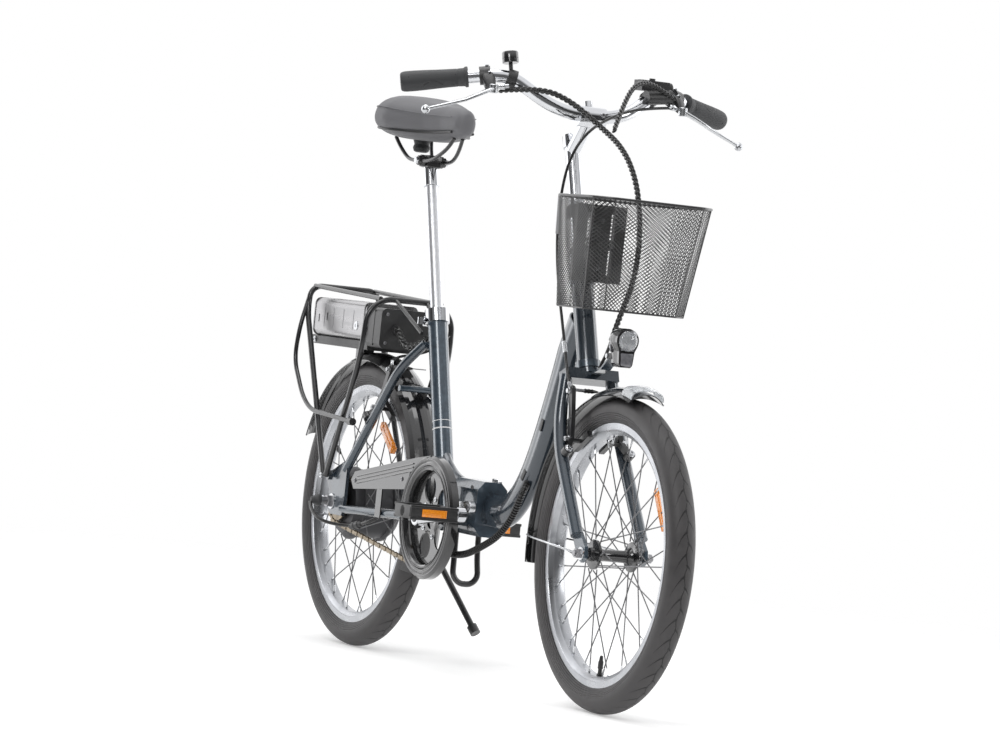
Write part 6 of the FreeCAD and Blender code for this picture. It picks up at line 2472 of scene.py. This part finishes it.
@dataclass
class FrameTrim:
    """Bands, ports, hinge bolts, collar bolt, fender wire joints and the clear fender tip."""

    def build(self) -> None:
        """Builds the trim."""
        low = SEAT_TOP + SEAT_DOWN * 0.196
        turn, around = basis_along(SEAT_DOWN), 48
        bands = []
        for shift, width in ((0.0, 1.2), (13.0, 2.2)):
            corners = []
            for distance, radius in ((0, 17.02), (0, 17.14), (width, 17.14), (width, 17.02)):
                for step in range(around):
                    angle = 2 * math.pi * step / around
                    local = mm(math.cos(angle) * radius, math.sin(angle) * radius, shift + distance)
                    corners.append(low + turn @ local)
            faces = ring_faces(4, around, looped=True, capped=False)
            bands.append(make_piece("band_part", corners, faces, WHITE_BAND, math.radians(40)))
        settle(join_pieces("seat_tube_bands", bands), "rear_frame")
        ports = []
        for place, lean in ((mm(216.0, -17.2, 437), 0.35), (mm(168, -17.0, 352), 0.62)):
            turn = Matrix.Rotation(lean, 3, "Y")
            ports.append(block_piece("port_part", place - mm(4.4, 1.0, 10), place + mm(4.4, 0.9, 10),
                PLASTIC, 0.9, turn))
        settle(join_pieces("cable_ports", ports), "front_frame")
        bolts = [mm(10, -30.6, z) for z in (250, 318)] + [mm(92, -16.6, 290)]
        stamp_on("hinge_bolts", screw_stamp("bolt_stamp", 4.2, 2.2, STEEL), bolts, [(0, -1, 0)], STEEL,
            "front_frame")
        pins = [mm(-30, 30, z) for z in (237.2, 328.8)]
        stamp_on("hinge_pin_nuts", hex_stamp("nut_stamp", 7.0, 4.0, ALLOY), pins,
            [(0, 0, way) for way in (-1, 1)], ALLOY, "front_frame")
        bolt = round_y("seat_collar_bolt", -298.1, 582, [(-14.6, 5.0), (-12, 5.4), (12, 5.4), (14.6, 5.0)],
            CHROME, 0, 1, 24)
        settle(bolt, "rear_frame")
        self.latch()
        self.fender_tip()
        self.fender_wires()

    def latch(self) -> None:
        """Builds the latch lever with its eye and pivot bolt."""
        points = mm_points([(20, -38.5, 284), (-6, -39.5, 284), (-30, -39.2, 284), (-46, -39.6, 284),
            (-56, -43.5, 284)])
        parts = [swept_piece("arm_part", points, [(9.6, 2.8), (8.6, 2.7), (7.8, 2.7), (7.8, 2.7),
            (6.6, 1.8)], Vector((0, 0, 1)), ALLOY, 20, 0.55), turned_piece("eye_part", mm(20, -30.5, 284),
            mm(20, -41, 284), [(0, 9.2), (0.8, 10), (9.6, 10), (10.8, 9)], ALLOY, 32),
            turned_piece("bolt_part", mm(20, -40.6, 284), mm(20, -50, 284),
            [(0, 5.6), (2.2, 5.4), (2.8, 4.6), (2.8, 2.4), (1.4, 2.2)], STEEL, 20)]
        settle(join_pieces("latch_handle", parts), "latch", ["latch_lever"])

    def fender_tip(self) -> None:
        """Adds the clear cap over the front fender's tip."""
        vertices = []
        rows, across = 7, 17
        for row in range(rows):
            angle = math.radians(76 + 7.5 * row / (rows - 1))
            swell = 0.8 + 5.0 * math.sin(math.pi * (0.15 + 0.7 * row / (rows - 1)))
            for step in range(across):
                share = -1 + 2 * step / (across - 1)
                side = 27.5 * math.sin(share * math.pi / 2)
                radius = 268.4 + swell * math.cos(share * math.pi / 2) - 12.0 * abs(share) ** 3
                vertices.append(FRONT_CENTRE + mm(math.cos(angle) * radius, side, math.sin(angle) * radius))
        faces = [(r * across + s, r * across + s + 1, (r + 1) * across + s + 1,
            (r + 1) * across + s) for r in range(rows - 1) for s in range(across - 1)]
        made = make_piece("fender_tip_cap", vertices, faces, CLEAR_LENS, math.pi)
        thick = made.modifiers.new("thick", "SOLIDIFY")
        thick.thickness, thick.offset = 0.0016, 1.0
        made = baked("fender_tip_cap", made)
        tidy_mesh(made.data)
        settle(made, "steering")

    def fender_wires(self) -> None:
        """Gives the front fender's wire stays a bright finish."""

        def outside(middle: Vector, _normal: Vector) -> bool:
            """Whether a face belongs to a wire stay, from its middle in mm."""
            return abs(middle.y) > FENDER_HALF

        repainted("front_fender", "steering", GLOSS_BLACK, [(outside, ALLOY)])


def main() -> None:
    """Builds every sub-assembly."""
    logging.basicConfig(level=logging.INFO, format="%(name)s: %(message)s")
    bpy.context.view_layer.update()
    dress_cad_nodes()
    Studio().build()
    LOG.info("studio built")
    steps: list[tuple[str, object]] = [
        ("front wheel", Wheel("front", FRONT_CENTRE, 33.9, 12.0, math.radians(-91))),
        ("rear wheel", Wheel("rear", REAR_CENTRE, 53.6, -12.0, math.radians(150), flange_radius=64.0,
                             flange_side=28.0)),
        ("basket", Basket()),
        ("saddle", Saddle()),
        ("cockpit", Cockpit()),
        ("cables", Cables()),
        ("drive", Drive()),
        ("lamp", Lamp()),
        ("brakes", Brakes()),
        ("rear load", RearLoad()),
        ("frame trim", FrameTrim()),
    ]
    for label, part in steps:
        part.build()
        LOG.info("%s built", label)


if __name__ == "__main__":
    main()
